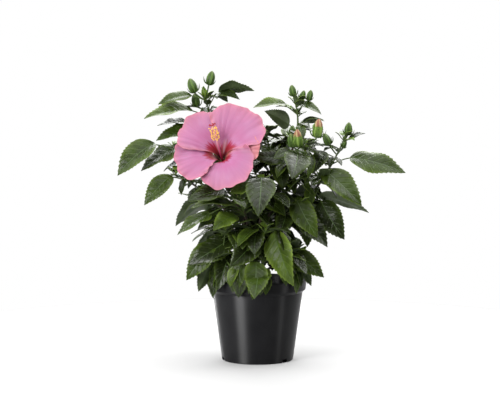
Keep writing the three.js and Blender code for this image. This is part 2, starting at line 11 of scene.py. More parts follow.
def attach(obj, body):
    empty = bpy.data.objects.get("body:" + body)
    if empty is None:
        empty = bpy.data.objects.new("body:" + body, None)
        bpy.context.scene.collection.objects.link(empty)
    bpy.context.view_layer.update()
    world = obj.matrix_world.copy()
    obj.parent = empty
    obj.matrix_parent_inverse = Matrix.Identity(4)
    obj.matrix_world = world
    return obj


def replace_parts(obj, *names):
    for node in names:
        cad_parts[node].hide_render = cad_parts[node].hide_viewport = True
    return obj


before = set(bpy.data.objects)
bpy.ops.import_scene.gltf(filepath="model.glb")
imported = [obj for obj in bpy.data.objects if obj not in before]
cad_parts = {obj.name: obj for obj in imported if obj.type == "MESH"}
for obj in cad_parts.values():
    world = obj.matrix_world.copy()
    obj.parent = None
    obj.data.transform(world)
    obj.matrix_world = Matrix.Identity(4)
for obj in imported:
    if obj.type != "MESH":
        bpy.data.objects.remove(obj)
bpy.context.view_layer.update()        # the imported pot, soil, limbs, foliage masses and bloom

MM = 0.001
RNG = np.random.default_rng(20)

# ---- the plant's sizes, as its solids have them (millimetres, degrees) ----------------------------------

GAP = 0.3
POT = {"height": 107, "foot": 47, "wall_top": 59.5, "wall": 1.2, "floor": 2, "rim": 65, "band": 16.5,
       "step": 3, "draft": 1.7, "rim_wall": 2.2, "sides": 144}
NOTCH = {"wide": 9, "tall": 4.5, "deep": 9, "edge": 1.2, "turns": (78, 198, 318)}
SOIL_TOP = 93
TRUNK_FOOT, TRUNK_FORK = (3, 5, SOIL_TOP + GAP), (-3, 4, 150)
TRUNK = {"foot": 4.6, "fork": 3.7, "flare": 2.6, "flare_fades": 9}
BOUGH_RISE = 0.35
STEM_TIP = 0.8
ROOT_LIMIT = 0.95
LEAF = {"places": (0.3, 0.68), "widths": (1, 0.74), "slender": 0.27, "thick": 1.1, "fold": 0.3, "arch": 0.07,
        "seat": 0.06, "sides": 4}
RULE_LEAF = {**LEAF, "places": (0.42,), "widths": (1,)}
BUD = {"places": (0.3, 0.75), "widths": (1, 0.62), "slender": 0.27, "fold": 0, "arch": 0, "sides": 5}
LEADERS = {"top_left": (3.1, 1.7), "right_top": (3.0, 1.6), "right_far": (2.6, 1.5), "back_right": (2.4, 1.5)}
SIDE_BOUGH = (1.9, 1.3)
LEAN = [0.3, -90]                # how far a leaf's upper side leans and its azimuth, unless its row says
LEAF_TURN = 137.5                # leaves follow each other by this angle round a stem
RULE = {"turn_spread": 0.8, "turn_sway": 70, "taper": 0.35, "length_sway": 0.14, "tip_rise": 25,
        "rise_sway": 14, "stalk": 0.4, "stalk_rise": 25, "stalk_sway": 15, "lean": 0.45, "lean_sway": 0.2}
DRAW_FACTOR, DRAW_RANGE = 48271, 2 ** 31 - 1
SAME = 0.05                      # corners this near to each other are one
SWAYS = ((0, 0), (10, 0), (-10, 0), (0, 10), (0, -10), (20, 0), (-20, 0), (0, 20), (0, -20), (30, 10),
         (-30, 10))              # the turns and rises that the rule tries to set a leaf free

BLOOM_FOOT = (-46, -20, 264)
BLOOM_FACING = (-0.1, -0.87, 0.48)
BLOOM_STALK = {"from": "top_left", "at": 0.42, "radii": (1.6, 2.0)}
PETAL_THICK = 0.55
PETAL_LIFT = 1.5
FUNNEL = ((3.5, 0.4), (10, 25), (36, 35), (62, 29))
PETALS = {
    "petal_right": {"angle": 2, "spread": 34, "reach": 0.86, "edges": (-1, -1), "frill": 0},
    "petal_upper_right": {"angle": 57, "spread": 52, "reach": 1.07, "edges": (1, 1), "frill": 1.2},
    "petal_upper_left": {"angle": 135, "spread": 47, "reach": 1.0, "edges": (-1, 1), "frill": 0.8},
    "petal_lower_left": {"angle": 205, "spread": 44, "reach": 0.97, "edges": (-1, 1), "frill": 2.4},
    "petal_bottom": {"angle": 301, "spread": 65, "reach": 0.95, "edges": (-1, 1), "frill": 1.4,
                     "slant": 0.15},
}
COLUMN = {"tip": (-58, -50, 308), "radius": 1.7, "anthers": 52, "anthers_from": 0.68, "anthers_to": 0.95}

# from, at: the limb that a bough leaves and the place on it; end: the bough's tip; tip: the shoot's; fill:
# how many leaves follow the rule; leaf, hang: their length and how the lowest stand; posed: [along the stem,
# azimuth, stalk, stalk's rise, blade's rise, length, lean of the upper side, azimuth it leans to]; buds:
# [along the stem, azimuth, stalk, stalk's rise, bud's rise, length]
SHOOTS = {
    "top_left": {
        "from": "trunk", "at": 1, "end": [-61, 22, 314], "tip": [-69, 12, 343],
        "fill": 4, "leaf": 26, "hang": -20,
        "posed": [
            [1, 190, 20, 20, -15, 46, 0.33], [0.2, 195, 26, 20, -10, 66, 0.31],
            [0.3, 190, 32, -20, -5, 40, 0.3], [0.12, 200, 24, -35, -15, 58, 0.37],
            [0.6, -30, 24, 60, -15, 38, 0.3], [0.9, -10, 22, 40, 0, 48, 0.4, 90],
            [1, 120, 5, 60, 75, 16, 0.3], [1, 240, 5, 50, 65, 15, 0.3],
        ],
        "buds": [[1, 10, 21, 79, 75, 20], [1, 180, 18, 34, 72, 21], [0.5, 180, 16, 15, 80, 19]],
    },
    "right_top": {
        "from": "trunk", "at": 0.97, "end": [50, 15, 290], "tip": [50, 9, 338],
        "fill": 4, "leaf": 26, "hang": -20,
        "posed": [
            [0.7, 190, 20, 40, -5, 44, 0.33], [0.2, 145, 16, 40, 25, 44, 0.7, 90],
            [0.9, -15, 6, 40, -25, 32, 0.4], [0.4, 0, 8, 40, 5, 28, 0.45, 90],
            [0.2, 60, 14, 30, -5, 42, 0.3], [0.8, 180, 6, 30, 10, 20, 0.3], [1, -100, 4, 50, 60, 14, 0.3],
        ],
        "buds": [[1, 180, 12, 75, 80, 16], [0.9, 5, 12, 58, 70, 13], [0.8, -5, 20, 42, 75, 15]],
    },
    "right_far": {
        "from": "trunk", "at": 0.74, "end": [93, 5, 250], "tip": [114, 4, 291],
        "fill": 3, "leaf": 20, "hang": -20,
        "posed": [
            [0.2, -15, 26, 20, -15, 76, 0.43], [0.4, -130, 26, 20, -50, 38, 0.5],
            [0.8, -15, 12, 40, 20, 24, 0.4], [0.9, -60, 8, 20, 0, 20, 0.3],
        ],
        "buds": [[1, 0, 9, 50, 85, 18], [0.5, 180, 16, 52, 65, 18], [0.5, -20, 12, 50, 60, 11]],
    },
    "back_right": {
        "from": "trunk", "at": 0.88, "end": [38, 58, 262], "tip": [46, 80, 288],
        "fill": 9, "leaf": 50, "hang": -35,
        "posed": [[0.6, 60, 20, 20, -15, 60, 0.4, 90], [0.3, 110, 20, 20, -30, 58, 0.5, 90]],
        "buds": [[1, 60, 8, 70, 75, 16]],
    },
    "left_high": {
        "from": "top_left", "at": 0.52, "end": [-84, 24, 259], "tip": [-110, 12, 276],
        "fill": 3, "leaf": 26, "hang": -30,
        "posed": [[0.9, 200, 32, 20, -40, 66, 0.4], [0.5, 205, 14, 60, -30, 64, 0.4]],
    },
    "left_low": {
        "from": "top_left", "at": 0.26, "end": [-76, 4, 224], "tip": [-110, -6, 244],
        "fill": 4, "leaf": 26, "hang": -30,
        "posed": [
            [0.4, 205, 28, 20, -45, 54, 0.42], [0.3, 150, 34, 60, -25, 32, 0.4],
            [0.5, -110, 8, 40, -55, 28, 0.5, 200],
        ],
    },
    "back_left": {
        "from": "top_left", "at": 0.18, "end": [-30, 54, 262], "tip": [-40, 74, 289],
        "fill": 9, "leaf": 50, "hang": -35,
        "posed": [[0.6, 120, 20, 20, -15, 60, 0.4, 90], [0.3, 160, 20, 20, -20, 54, 0.3, 90]],
        "buds": [[1, 100, 8, 70, 75, 16]],
    },
    "left_front": {
        "from": "trunk", "at": 0.8, "end": [-15, -30, 189], "tip": [-28, -48, 214],
        "fill": 6, "leaf": 38, "hang": -35,
        "posed": [
            [0.9, 200, 22, 40, -15, 52, 0.4], [0.4, 200, 8, 20, 0, 64, 0.25],
            [0.8, 200, 40, -20, -30, 52, 0.3], [0.2, 200, 38, 0, -35, 32, 0.5],
            [0.12, 230, 18, 0, -20, 48, 0.5], [1, -60, 14, 20, 30, 16, 0.3],
        ],
    },
    "centre_front": {
        "from": "trunk", "at": 0.94, "end": [6, -22, 205], "tip": [5, -44, 234],
        "fill": 7, "leaf": 40, "hang": -35,
        "posed": [
            [1, -95, 14, 40, -45, 66, 0.8], [1, 205, 10, 20, -20, 38, 0.7], [0.12, -45, 8, 20, -30, 38, 0.6],
        ],
    },
    "centre_top": {
        "from": "right_top", "at": 0.42, "end": [17, 20, 262], "tip": [12, 16, 296],
        "fill": 9, "leaf": 42, "hang": -30,
        "posed": [[0.7, 200, 18, 20, 0, 42, 0.5], [0.4, 215, 20, 10, -20, 46, 0.7]],
    },
    "right_centre": {
        "from": "right_top", "at": 0.6, "end": [55, -14, 257], "tip": [62, -29, 280],
        "fill": 5, "leaf": 28, "hang": -30,
        "posed": [
            [0.3, 180, 26, 0, 5, 38, 0.6], [0.5, -140, 24, 20, -20, 32, 0.5],
            [0.12, -100, 36, 20, -30, 60, 0.8], [0.7, -85, 8, 40, -60, 42, 0.4, 0],
        ],
        "buds": [[1, 0, 20, 43, 84, 25], [1, 180, 9, 12, 85, 23], [0.7, 180, 17, 25, 80, 19]],
    },
    "right_mid": {
        "from": "right_far", "at": 0.52, "end": [69, -6, 224], "tip": [86, -17, 240],
        "fill": 4, "leaf": 36, "hang": -35,
        "posed": [
            [0.12, -30, 22, -50, -55, 60, 0.8], [0.3, -30, 26, 50, -40, 70, 0.4],
            [0.12, 5, 14, -40, -20, 70, 0.35, 90],
        ],
    },
    "right_low": {
        "from": "right_far", "at": 0.16, "end": [38, -14, 190], "tip": [56, -30, 204],
        "fill": 6, "leaf": 38, "hang": -40,
        "posed": [
            [0.2, -50, 24, 50, -50, 62, 0.6], [0.12, -25, 12, -20, -40, 58, 0.5],
            [0.3, -110, 16, -10, -40, 42, 0.5],
        ],
    },
    "front_left": {
        "from": "trunk", "at": 0.5, "end": [-23, -30, 160], "tip": [-45, -47, 168],
        "fill": 6, "leaf": 44, "hang": -45,
        "posed": [
            [0.3, 195, 8, -20, -30, 66, 0.6], [0.5, 190, 30, -20, -55, 58, 0.6],
            [0.4, -90, 16, 20, -30, 38, 0.8],
        ],
    },
    "front_mid": {
        "from": "trunk", "at": 0.56, "end": [5, -36, 161], "tip": [9, -58, 172],
        "fill": 6, "leaf": 44, "hang": -45,
        "posed": [
            [0.5, 170, 8, 20, 20, 28, 0.1], [0.12, 225, 10, 0, -35, 58, 0.7],
            [0.2, -50, 24, 20, -60, 76, 0.8, -130], [0.6, -45, 26, 20, -60, 40, 0.7, -50],
        ],
    },
    "skirt_left": {
        "from": "trunk", "at": 0.25, "end": [-28, -24, 134], "tip": [-48, -40, 140],
        "fill": 5, "leaf": 48, "hang": -50,
        "posed": [[0.3, 200, 26, 0, -65, 48, 0.5, 90], [0.12, 235, 14, 50, -60, 56, 0.8]],
    },
    "skirt_front": {
        "from": "trunk", "at": 0.2, "end": [2, -36, 132], "tip": [6, -56, 138],
        "fill": 4, "leaf": 46, "hang": -50,
        "posed": [
            [0.12, -120, 18, 0, -60, 44, 0.5, 180], [0.3, -100, 28, 0, -60, 52, 0.7],
            [0.12, -75, 20, -20, -30, 66, 0.8],
        ],
    },
    "skirt_right": {
        "from": "trunk", "at": 0.3, "end": [30, -22, 136], "tip": [50, -36, 144],
        "fill": 7, "leaf": 46, "hang": -50,
        "posed": [
            [0.2, -85, 20, 20, -75, 44, 0.7], [0.4, -20, 8, 20, -35, 54, 0.7],
            [0.2, -30, 22, -20, -55, 36, 0.5, 90],
        ],
    },
    "back_low_left": {
        "from": "trunk", "at": 0.62, "end": [-44, 38, 189], "tip": [-70, 54, 196],
        "fill": 9, "leaf": 50, "hang": -50,
        "posed": [[0.6, 150, 18, 20, -35, 58, 0.4, 90]],
    },
    "back_low": {
        "from": "trunk", "at": 0.35, "end": [-3, 44, 150], "tip": [-3, 70, 158],
        "fill": 9, "leaf": 52, "hang": -55,
        "posed": [[0.6, 90, 16, 20, -50, 60, 0.5, 90]],
    },
    "back_low_right": {
        "from": "trunk", "at": 0.68, "end": [44, 38, 182], "tip": [72, 54, 190],
        "fill": 9, "leaf": 50, "hang": -50,
        "posed": [[0.6, 35, 18, 20, -40, 58, 0.4, 90]],
    },
}

# leaves whose green shows: (shoot, place in its posed rows)
SHOWN = {
    "light": [("front_mid", 2), ("left_front", 1), ("left_front", 4), ("centre_front", 1), ("top_left", 1),
              ("right_top", 0)],
    "mid": [("right_far", 0), ("skirt_front", 2), ("right_mid", 1), ("right_centre", 3), ("top_left", 3),
            ("top_left", 5), ("right_top", 2), ("right_low", 0), ("left_high", 0), ("left_high", 1),
            ("left_low", 0)],
    "dark": [("right_mid", 0), ("centre_front", 0), ("right_centre", 2), ("front_left", 0), ("right_low", 1)],
}
TINTS = {leaf: tint for tint, those in SHOWN.items() for leaf in those}
OPENING_BUDS = (("right_centre", 0), ("right_centre", 1))
TINT_POOLS = {"posed": ["dark", "dark", "mid"], "rule": ["dark", "dark", "dark", "mid", "mid", "light"],
              "fine": ["dark", "dark", "dark", "mid"], "draped": ["dark", "dark", "mid", "light"]}
YOUNG = {"posed": 21, "rule": 17}    # leaves shorter than this are young ones

# ---- the finer leaves -----------------------------------------------------------------------------------

CROWN_MIDDLE = (0, 0, 200)
NEARBY = 24                      # how far round a leaf's tip the corners of the solids' leaves count
REACH_SLACK = {"fine": 2.5, "draped": 1}
CLEAR = {"behind": 14, "before": 75, "throat": 12, "flare": 0.95, "deep": 60, "round": 70, "over_rim": 3,
         "off_rim": 1.5, "lowest": 78}
VEIL = {"before": 45, "beside": 0.3, "other": (0.25, 0.6, 0.9), "own": (0.3, 0.65, 1)}
LOW_SHOOTS = ("skirt", "front")
FINE = {"twigs": 9, "twigs_behind": 34, "twigs_below": 60, "bough_from": 0.3, "bough_part": 1.4, "fan": 100,
        "sway": 30, "rise": 45, "reach": (7, 18), "upturn": 4, "turns": (-62, 55, 0, -20),
        "places": (0.5, 0.75, 1, 0.3), "turn_sway": 15, "length": (0.65, 1.1), "stalk": (0.2, 0.4),
        "stalk_rise": (-15, 40), "droop": 15, "rise_sway": 22, "flattest": -10, "lean": (0.3, 0.6)}
SKIRT = {"longer": 1.3, "rise": (-80, -40), "stalk_drop": 25}
DRAPE = {"tries": 150, "root": (0.1, 0.95), "fan": 80, "rim": (60, 68), "shortest": 5, "longest": 40,
         "foot": (116, 142), "out": (68.5, 74), "tip": (82, 104), "lean": 0.8, "apart": 9}

# ---- camera ---------------------------------------------------------------------------------------------

lens = bpy.data.cameras.new("front_view")
lens.lens, lens.sensor_width = 95.7, 36
camera = bpy.data.objects.new("front_view", lens)
camera.location = (-0.010, -1.750, 0.300)
camera.rotation_euler = (math.radians(90 - 2.92), 0, 0)
bpy.context.scene.collection.objects.link(camera)
bpy.context.scene.camera = camera

# ---- finishes -------------------------------------------------------------------------------------------


def linear(colour):
    """The shader's colour for a #rrggbb one."""
    parts = [int(colour[i:i + 2], 16) / 255 for i in (1, 3, 5)]
    return [p / 12.92 if p <= 0.04045 else ((p + 0.055) / 1.055) ** 2.4 for p in parts] + [1]


class Finish:
    """A Principled material and the nodes that feed it."""

    def __init__(self, name, colour, roughness, **sockets):
        self.material = bpy.data.materials.new(name)
        self.material.use_nodes = True
        self.material.diffuse_color = linear(colour)
        self.nodes, self.links = self.material.node_tree.nodes, self.material.node_tree.links
        self.shader = self.nodes["Principled BSDF"]
        self.set("Base Color", linear(colour))
        self.set("Roughness", roughness)
        for socket, value in sockets.items():
            self.set(socket.replace("_", " "), value)

    def set(self, socket, value):
        self.shader.inputs[socket].default_value = value

    def node(self, kind, **settings):
        node = self.nodes.new(kind)
        for name, value in settings.items():
            if name in node.inputs:
                node.inputs[name].default_value = value
            else:
                setattr(node, name, value)
        return node

    def math(self, operation, first, second=0.0, third=0.0):
        node = self.node("ShaderNodeMath", operation=operation)
        for slot, value in zip(node.inputs, (first, second, third)):
            if isinstance(value, (int, float)):
                slot.default_value = value
            else:
                self.links.new(value, slot)
        return node.outputs[0]

    def grain(self, size, detail):
        """Noise whose grains are size millimetres wide, on the piece's own place in space."""
        texture = self.node("ShaderNodeTexNoise", Scale=1 / (size * MM), Detail=detail)
        self.links.new(self.node("ShaderNodeTexCoord").outputs["Object"], texture.inputs["Vector"])
        return texture.outputs["Fac"]

    def colours(self, factor, stops):
        """A colour ramp on a factor; stops are (place, #rrggbb)."""
        ramp = self.node("ShaderNodeValToRGB")
        band = ramp.color_ramp.elements
        while len(band) < len(stops):
            band.new(0.5)
        for stop, (place, colour) in zip(band, stops):
            stop.position, stop.color = place, linear(colour)
        self.links.new(factor, ramp.inputs["Fac"])
        return ramp.outputs["Color"]

    def blend(self, factor, first, second):
        mix_node = self.node("ShaderNodeMix", data_type="RGBA")
        for slot, value in ((0, factor), (6, first), (7, second)):
            if isinstance(value, (int, float, list)):
                mix_node.inputs[slot].default_value = value
            else:
                self.links.new(value, mix_node.inputs[slot])
        return mix_node.outputs[2]

    def axes(self, uv_map):
        """The two places on one of the piece's own UV maps."""
        place = self.node("ShaderNodeSeparateXYZ")
        self.links.new(self.node("ShaderNodeUVMap", uv_map=uv_map).outputs["UV"], place.inputs["Vector"])
        return place.outputs["X"], place.outputs["Y"]

    def paint(self, colour):
        self.links.new(colour, self.shader.inputs["Base Color"])
        return self

    def relief(self, height, depth, strength=1.0):
        """Raises the surface by a factor times depth millimetres."""
        bump = self.node("ShaderNodeBump", Distance=depth * MM, Strength=strength)
        self.links.new(height, bump.inputs["Height"])
        self.links.new(bump.outputs["Normal"], self.shader.inputs["Normal"])
        return self


VEINS = {"waves": 7.2, "slant": 0.24, "quilt_slant": 0.12, "wide": 0.35, "soft": 0.2}
MARGIN = {"narrow": 6.0, "strength": 1.7}


def leaf_finish(name, colour, second, margin, gloss, roughness):
    """Glossy leaf green: blotches of a second green, a paler margin and side veins pressed in."""
    green = Finish(name, colour, roughness, Specular_IOR_Level=gloss)
    along, across = green.axes("blade")
    side = green.math("ABSOLUTE", green.math("MULTIPLY_ADD", across, 2.0, -1.0))
    slanted = green.math("MULTIPLY_ADD", side, -VEINS["slant"], along)
    waves = green.math("SINE", green.math("MULTIPLY", slanted, VEINS["waves"] * math.pi))
    furrow = green.math("SMOOTH_MIN", green.math("ABSOLUTE", waves), VEINS["wide"], VEINS["soft"])
    pores = green.math("MULTIPLY", green.grain(0.9, 4.0), 0.4)
    green.relief(green.math("MULTIPLY_ADD", furrow, 1.6, pores), 0.5, 1.0)
    blotches = green.colours(green.grain(14, 3.0), [(0.38, colour), (0.62, second)])
    veined = green.blend(green.math("MULTIPLY_ADD", furrow, -1.1, 0.3), blotches, linear(margin))
    patches = green.math("MULTIPLY", green.grain(9, 2.0), MARGIN["strength"])
    rim = green.math("MULTIPLY", green.math("POWER", side, MARGIN["narrow"]), patches)
    return green.paint(green.blend(rim, veined, linear(margin)))


def plain_finish(name, colour, second, roughness, size, depth):
    """A finish mottled between two colours, with fine relief."""
    surface = Finish(name, colour, roughness)
    grains = surface.grain(size, 5.0)
    return surface.paint(surface.colours(grains, [(0.35, colour), (0.65, second)])).relief(grains, depth)


LEAF_TOPS = {
    "dark": leaf_finish("leaf_dark", "#19200c", "#242f10", "#475820", 0.3, 0.2),
    "mid": leaf_finish("leaf_mid", "#273410", "#344514", "#5a6d27", 0.2, 0.24),
    "light": leaf_finish("leaf_light", "#344413", "#46591c", "#6e8330", 0.18, 0.28),
    "young": leaf_finish("leaf_young", "#4c661e", "#627c28", "#7c9438", 0.2, 0.36),
}
LEAF_UNDER = plain_finish("leaf_underside", "#3c4a2a", "#475532", 0.6, 6.0, 0.1)
LEAF_VEIN = plain_finish("leaf_midrib", "#3e5620", "#33481a", 0.45, 3.0, 0.05)
GREEN_STEM = plain_finish("green_stem", "#425424", "#55692c", 0.5, 2.0, 0.1)
WOODY_STEM = plain_finish("woody_stem", "#3f3728", "#4f4838", 0.7, 1.2, 0.2)
BARK = plain_finish("bark_grey_brown", "#40362c", "#5b5046", 0.85, 1.4, 0.5)
BRACT_GREEN = plain_finish("bud_bracts", "#384c1e", "#4a6426", 0.5, 1.6, 0.1)


def bud_finish(name, furrow, flank, ridge, tip):
    """A skin with painted shade in its furrows and a painted highlight on its ridges, coloured towards its
    tip.
    """
    skin = Finish(name, flank, 0.5, Specular_IOR_Level=0.25)
    up, rib = skin.axes("blade")
    ribs = skin.math("MULTIPLY_ADD", skin.math("SUBTRACT", skin.grain(1.2, 4.0), 0.5), 0.5, rib)
    # painted shade in the furrows, painted highlight on the ridges
    body = skin.colours(ribs, [(0.1, furrow), (0.5, flank), (0.95, ridge)])
    end = skin.math("MULTIPLY", skin.math("POWER", up, 9.0), 0.8)
    return skin.paint(skin.blend(end, body, linear(tip))).relief(ribs, 0.3, 0.6)


# of each bud colour set, the first is painted shade in the furrows and the third a painted highlight on the
# ridges
BUD_GREEN = bud_finish("bud_calyx", "#3c5222", "#4e6a2c", "#64803c", "#6c6a3c")
FRESH_GREEN = bud_finish("opening_calyx", "#5a7430", "#6a8838", "#849c4c", "#8a984c")
BUD_TIP = bud_finish("bud_petal_tip", "#8a5448", "#a88c62", "#b8a67c", "#90584a")

# ---- curves ---------------------------------------------------------------------------------------------


def vec(point):
    return np.array(point, float)


def unit(v):
    return v / np.linalg.norm(v)


def mix(a, b, t):
    return a + (b - a) * t


def direction(azimuth, elevation):
    turn, rise = math.radians(azimuth), math.radians(elevation)
    return vec((math.cos(turn) * math.cos(rise), math.sin(turn) * math.cos(rise), math.sin(rise)))


def azimuth_of(way):
    return math.degrees(math.atan2(way[1], way[0]))


def rise_of(way):
    return math.degrees(math.asin(way[2] / np.linalg.norm(way)))


def spoke(turn, across, up):
    """The way out from an axis at some angles round it, from two directions across it."""
    turn = np.asarray(turn, float)[..., None]
    return np.cos(turn) * across + np.sin(turn) * up


def angles_round(count):
    return np.linspace(0, 2 * math.pi, count, endpoint=False)


class Curve:
    """A limb's centre line, a quadratic Bezier curve."""

    def __init__(self, start, handle, end):
        self.start, self.handle, self.end = start, handle, end

    def point(self, s):
        return self.start * (1 - s) ** 2 + self.handle * 2 * s * (1 - s) + self.end * s * s

    def heading(self, s):
        return unit((self.handle - self.start) * (1 - s) + (self.end - self.handle) * s)

    def length(self):
        points = [self.point(i / 8) for i in range(9)]
        return sum(np.linalg.norm(b - a) for a, b in zip(points, points[1:]))


def trunk_point(s):
    return mix(vec(TRUNK_FOOT), vec(TRUNK_FORK), s)


def trunk_radius(s):
    return mix(TRUNK["foot"], TRUNK["fork"], s) + TRUNK["flare"] * math.exp(-TRUNK["flare_fades"] * s)


@functools.cache
def bough_curve(name):
    shoot = SHOOTS[name]
    if shoot["from"] == "trunk":
        start = trunk_point(shoot["at"])
    else:
        start = bough_curve(shoot["from"]).point(shoot["at"])
    end = vec(shoot["end"])
    return Curve(start, mix(start, end, vec((0.5, 0.5, BOUGH_RISE))), end)


def bough_radii(name):
    return LEADERS.get(name, SIDE_BOUGH)


@functools.cache
def stem_curve(name):
    """The shoot's stem goes on from its bough's tip in the same direction."""
    bough = bough_curve(name)
    heading, tip = bough.heading(1), vec(SHOOTS[name]["tip"])
    start = bough.end + heading * GAP
    return Curve(start, start + heading * np.linalg.norm(tip - start) / 2, tip)


# ---- growth: the rule of the solids again ---------------------------------------------------------------


class Stance:
    """Where a leaf or bud stands: its root in the stem, its blade's foot, its heading and its upper side."""

    def __init__(self, name, row, sway=(0, 0), root=None):
        along, azimuth, stalk, rise, elevation, length = row[:6]
        lean, lean_to = list(row[6:]) + LEAN[len(row) - 6:]
        turned = azimuth + sway[0]
        self.root = stem_curve(name).point(min(along, ROOT_LIMIT)) if root is None else root
        self.base = self.root + direction(turned, rise) * stalk
        self.length = length
        self.along = direction(turned, elevation + sway[1])
        facing = direction(lean_to, 0) * lean + vec((0, 0, 1 - lean))
        self.upper = unit(facing - self.along * facing.dot(self.along))
        self.across = np.cross(self.upper, self.along)

    def midrib(self, s, arch):
        return self.base + self.along * self.length * s + self.upper * arch * self.length * 4 * s * (1 - s)

    def corners(self, form):
        """The tip and the swell's corners of the leaf or bud in the solids."""
        points = [self.midrib(1, form["arch"])]
        for s, width in zip(form["places"], form["widths"]):
            half = width * form["slender"] * self.length
            deep = form.get("thick", 2 * half) / 2
            for j in range(form["sides"]):
                turn = 2 * math.pi * j / form["sides"]
                side, out = -math.cos(turn), math.sin(turn)
                points.append(self.midrib(s, form["arch"]) + self.across * side * half
                              + self.upper * (abs(side) * form["fold"] * half + out * deep))
        return points


def corner_finder(*names):
    corners = [corner.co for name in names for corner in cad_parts[f"foliage_{name}"].data.vertices]
    tree = KDTree(len(corners))
    for i, corner in enumerate(corners):
        tree.insert(corner, i)
    tree.balance()
    return tree


def as_grown(name, row, form, finder):
    """The stance whose corners are in the mass, or None where the leaf was skipped."""
    best, most = None, 1
    for sway in SWAYS:
        stance = Stance(name, row, sway)
        met = sum(finder.find(corner * MM)[2] < SAME * MM for corner in stance.corners(form))
        if met > most:
            best, most = stance, met
    return best


draw_state = 20


def draw():
    """The seeded draw of the growth rule: -1 … 1."""
    global draw_state
    draw_state = (draw_state * DRAW_FACTOR) % DRAW_RANGE
    return draw_state / DRAW_RANGE * 2 - 1


def rule_row(name, k):
    """Leaves follow each other round the stem, drawn towards the crown's outside."""
    shoot = SHOOTS[name]
    along = (k + 0.5) / shoot["fill"]
    turn = math.fmod(math.fmod(k * LEAF_TURN + RULE["turn_sway"] * draw(), 360) + 360, 360) - 180
    length = shoot["leaf"] * (1 - RULE["taper"] * along * along) * (1 + RULE["length_sway"] * draw())
    elevation = mix(shoot["hang"], RULE["tip_rise"], along) + RULE["rise_sway"] * draw()
    azimuth = azimuth_of(shoot["tip"]) + RULE["turn_spread"] * turn
    rise, lean = RULE["stalk_rise"] + RULE["stalk_sway"] * draw(), RULE["lean"] + RULE["lean_sway"] * draw()
    return [along, azimuth, length * RULE["stalk"], rise, elevation, length, lean, azimuth]


def tint_of(kind, length):
    """A seeded choice of green; the shortest leaves are young ones."""
    return "young" if length < YOUNG.get(kind, 0) else RNG.choice(TINT_POOLS[kind])


leaves, buds = [], []            # (stance, tint), (stance, is it opening)
shown = []                       # stances of the leaves that finer ones don't hang in front of
finders = {name: corner_finder(name) for name in SHOOTS}
for name, shoot in SHOOTS.items():
    for i, row in enumerate(shoot.get("buds", ())):
        stance = as_grown(name, row, BUD, finders[name])
        if stance:
            buds.append((stance, (name, i) in OPENING_BUDS))
    for i, row in enumerate(shoot["posed"]):
        stance = as_grown(name, row, LEAF, finders[name])
        if stance and (name, i) in TINTS:
            leaves.append((stance, TINTS[name, i]))
            shown.append(stance)
        elif stance:
            leaves.append((stance, tint_of("posed", stance.length)))
for k in range(max(shoot["fill"] for shoot in SHOOTS.values())):
    for name, shoot in SHOOTS.items():
        if k < shoot["fill"]:
            stance = as_grown(name, rule_row(name, k), RULE_LEAF, finders[name])
            if stance:
                leaves.append((stance, tint_of("rule", stance.length)))
grown_leaves = len(leaves)

# ---- the rule carried to finer twigs --------------------------------------------------------------------

BLOOM_AT, BLOOM_AXIS = vec(BLOOM_FOOT), unit(vec(BLOOM_FACING))
BLOOM_RIGHT = unit(np.cross(vec((0, 0, 1)), BLOOM_AXIS))
BLOOM_UP = np.cross(BLOOM_AXIS, BLOOM_RIGHT)
crown_finder = corner_finder(*SHOOTS)
corners, triangles = [], []
for node_name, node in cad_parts.items():
    if node_name not in ("pot", "soil"):
        triangles += [[i + len(corners) for i in face.vertices] for face in node.data.polygons]
        corners += [corner.co.copy() for corner in node.data.vertices]
solids = BVHTree.FromPolygons(corners, triangles)


def is_clear(point):
    """Is a point off the bloom, the pot and the air under the crown?"""
    off = point - BLOOM_AT
    height = off.dot(BLOOM_AXIS)
    cone = CLEAR["throat"] + CLEAR["flare"] * max(0, min(height + CLEAR["behind"], CLEAR["deep"]))
    in_bloom = (-CLEAR["behind"] < height < CLEAR["before"]
                and np.linalg.norm(off - BLOOM_AXIS * height) < min(cone, CLEAR["round"]))
    in_pot = (point[2] < POT["height"] + CLEAR["over_rim"]
              and math.hypot(point[0], point[1]) < POT["rim"] + CLEAR["off_rim"])
    return not in_bloom and not in_pot and point[2] > CLEAR["lowest"]


def crosses(stance):
    """Does a leaf cross a leaf or limb of the solids?"""
    wide = LEAF["slender"] * stance.length
    foot, tip = stance.midrib(0.08, 0), stance.midrib(1, LEAF["arch"])
    left, right = (stance.midrib(0.4, LEAF["arch"]) + stance.across * wide * turn for turn in (-1, 1))
    for a, b in ((foot, tip), (foot, left), (foot, right), (left, tip), (right, tip), (left, right)):
        way = b - a
        if solids.ray_cast(Vector(a * MM), Vector(unit(way)), np.linalg.norm(way) * MM)[0]:
            return True
    return False


def hides_a_shown_leaf(stance):
    """Does a leaf hang in front of one whose green shows?"""
    for other in shown:
        for part in VEIL["other"]:
            for own in VEIL["own"]:
                x, y, z = stance.midrib(own, LEAF["arch"]) - other.midrib(part, LEAF["arch"])
                if -VEIL["before"] < y < 0 and math.hypot(x, z) < VEIL["beside"] * other.length:
                    return True
    return False


def stands_free(stance):
    return (all(is_clear(stance.midrib(s, 0)) for s in (0, 0.3, 0.6, 1))
            and not crosses(stance) and not hides_a_shown_leaf(stance))


def from_middle(point):
    return np.linalg.norm(point - vec(CROWN_MIDDLE))


def is_inside(tip):
    """Is a point no further from the crown's middle than the nearest corner of the solids' leaves?"""
    corner, _, away = crown_finder.find(tip * MM)
    return away < NEARBY * MM and from_middle(tip) < from_middle(vec(corner) / MM) + REACH_SLACK["fine"]


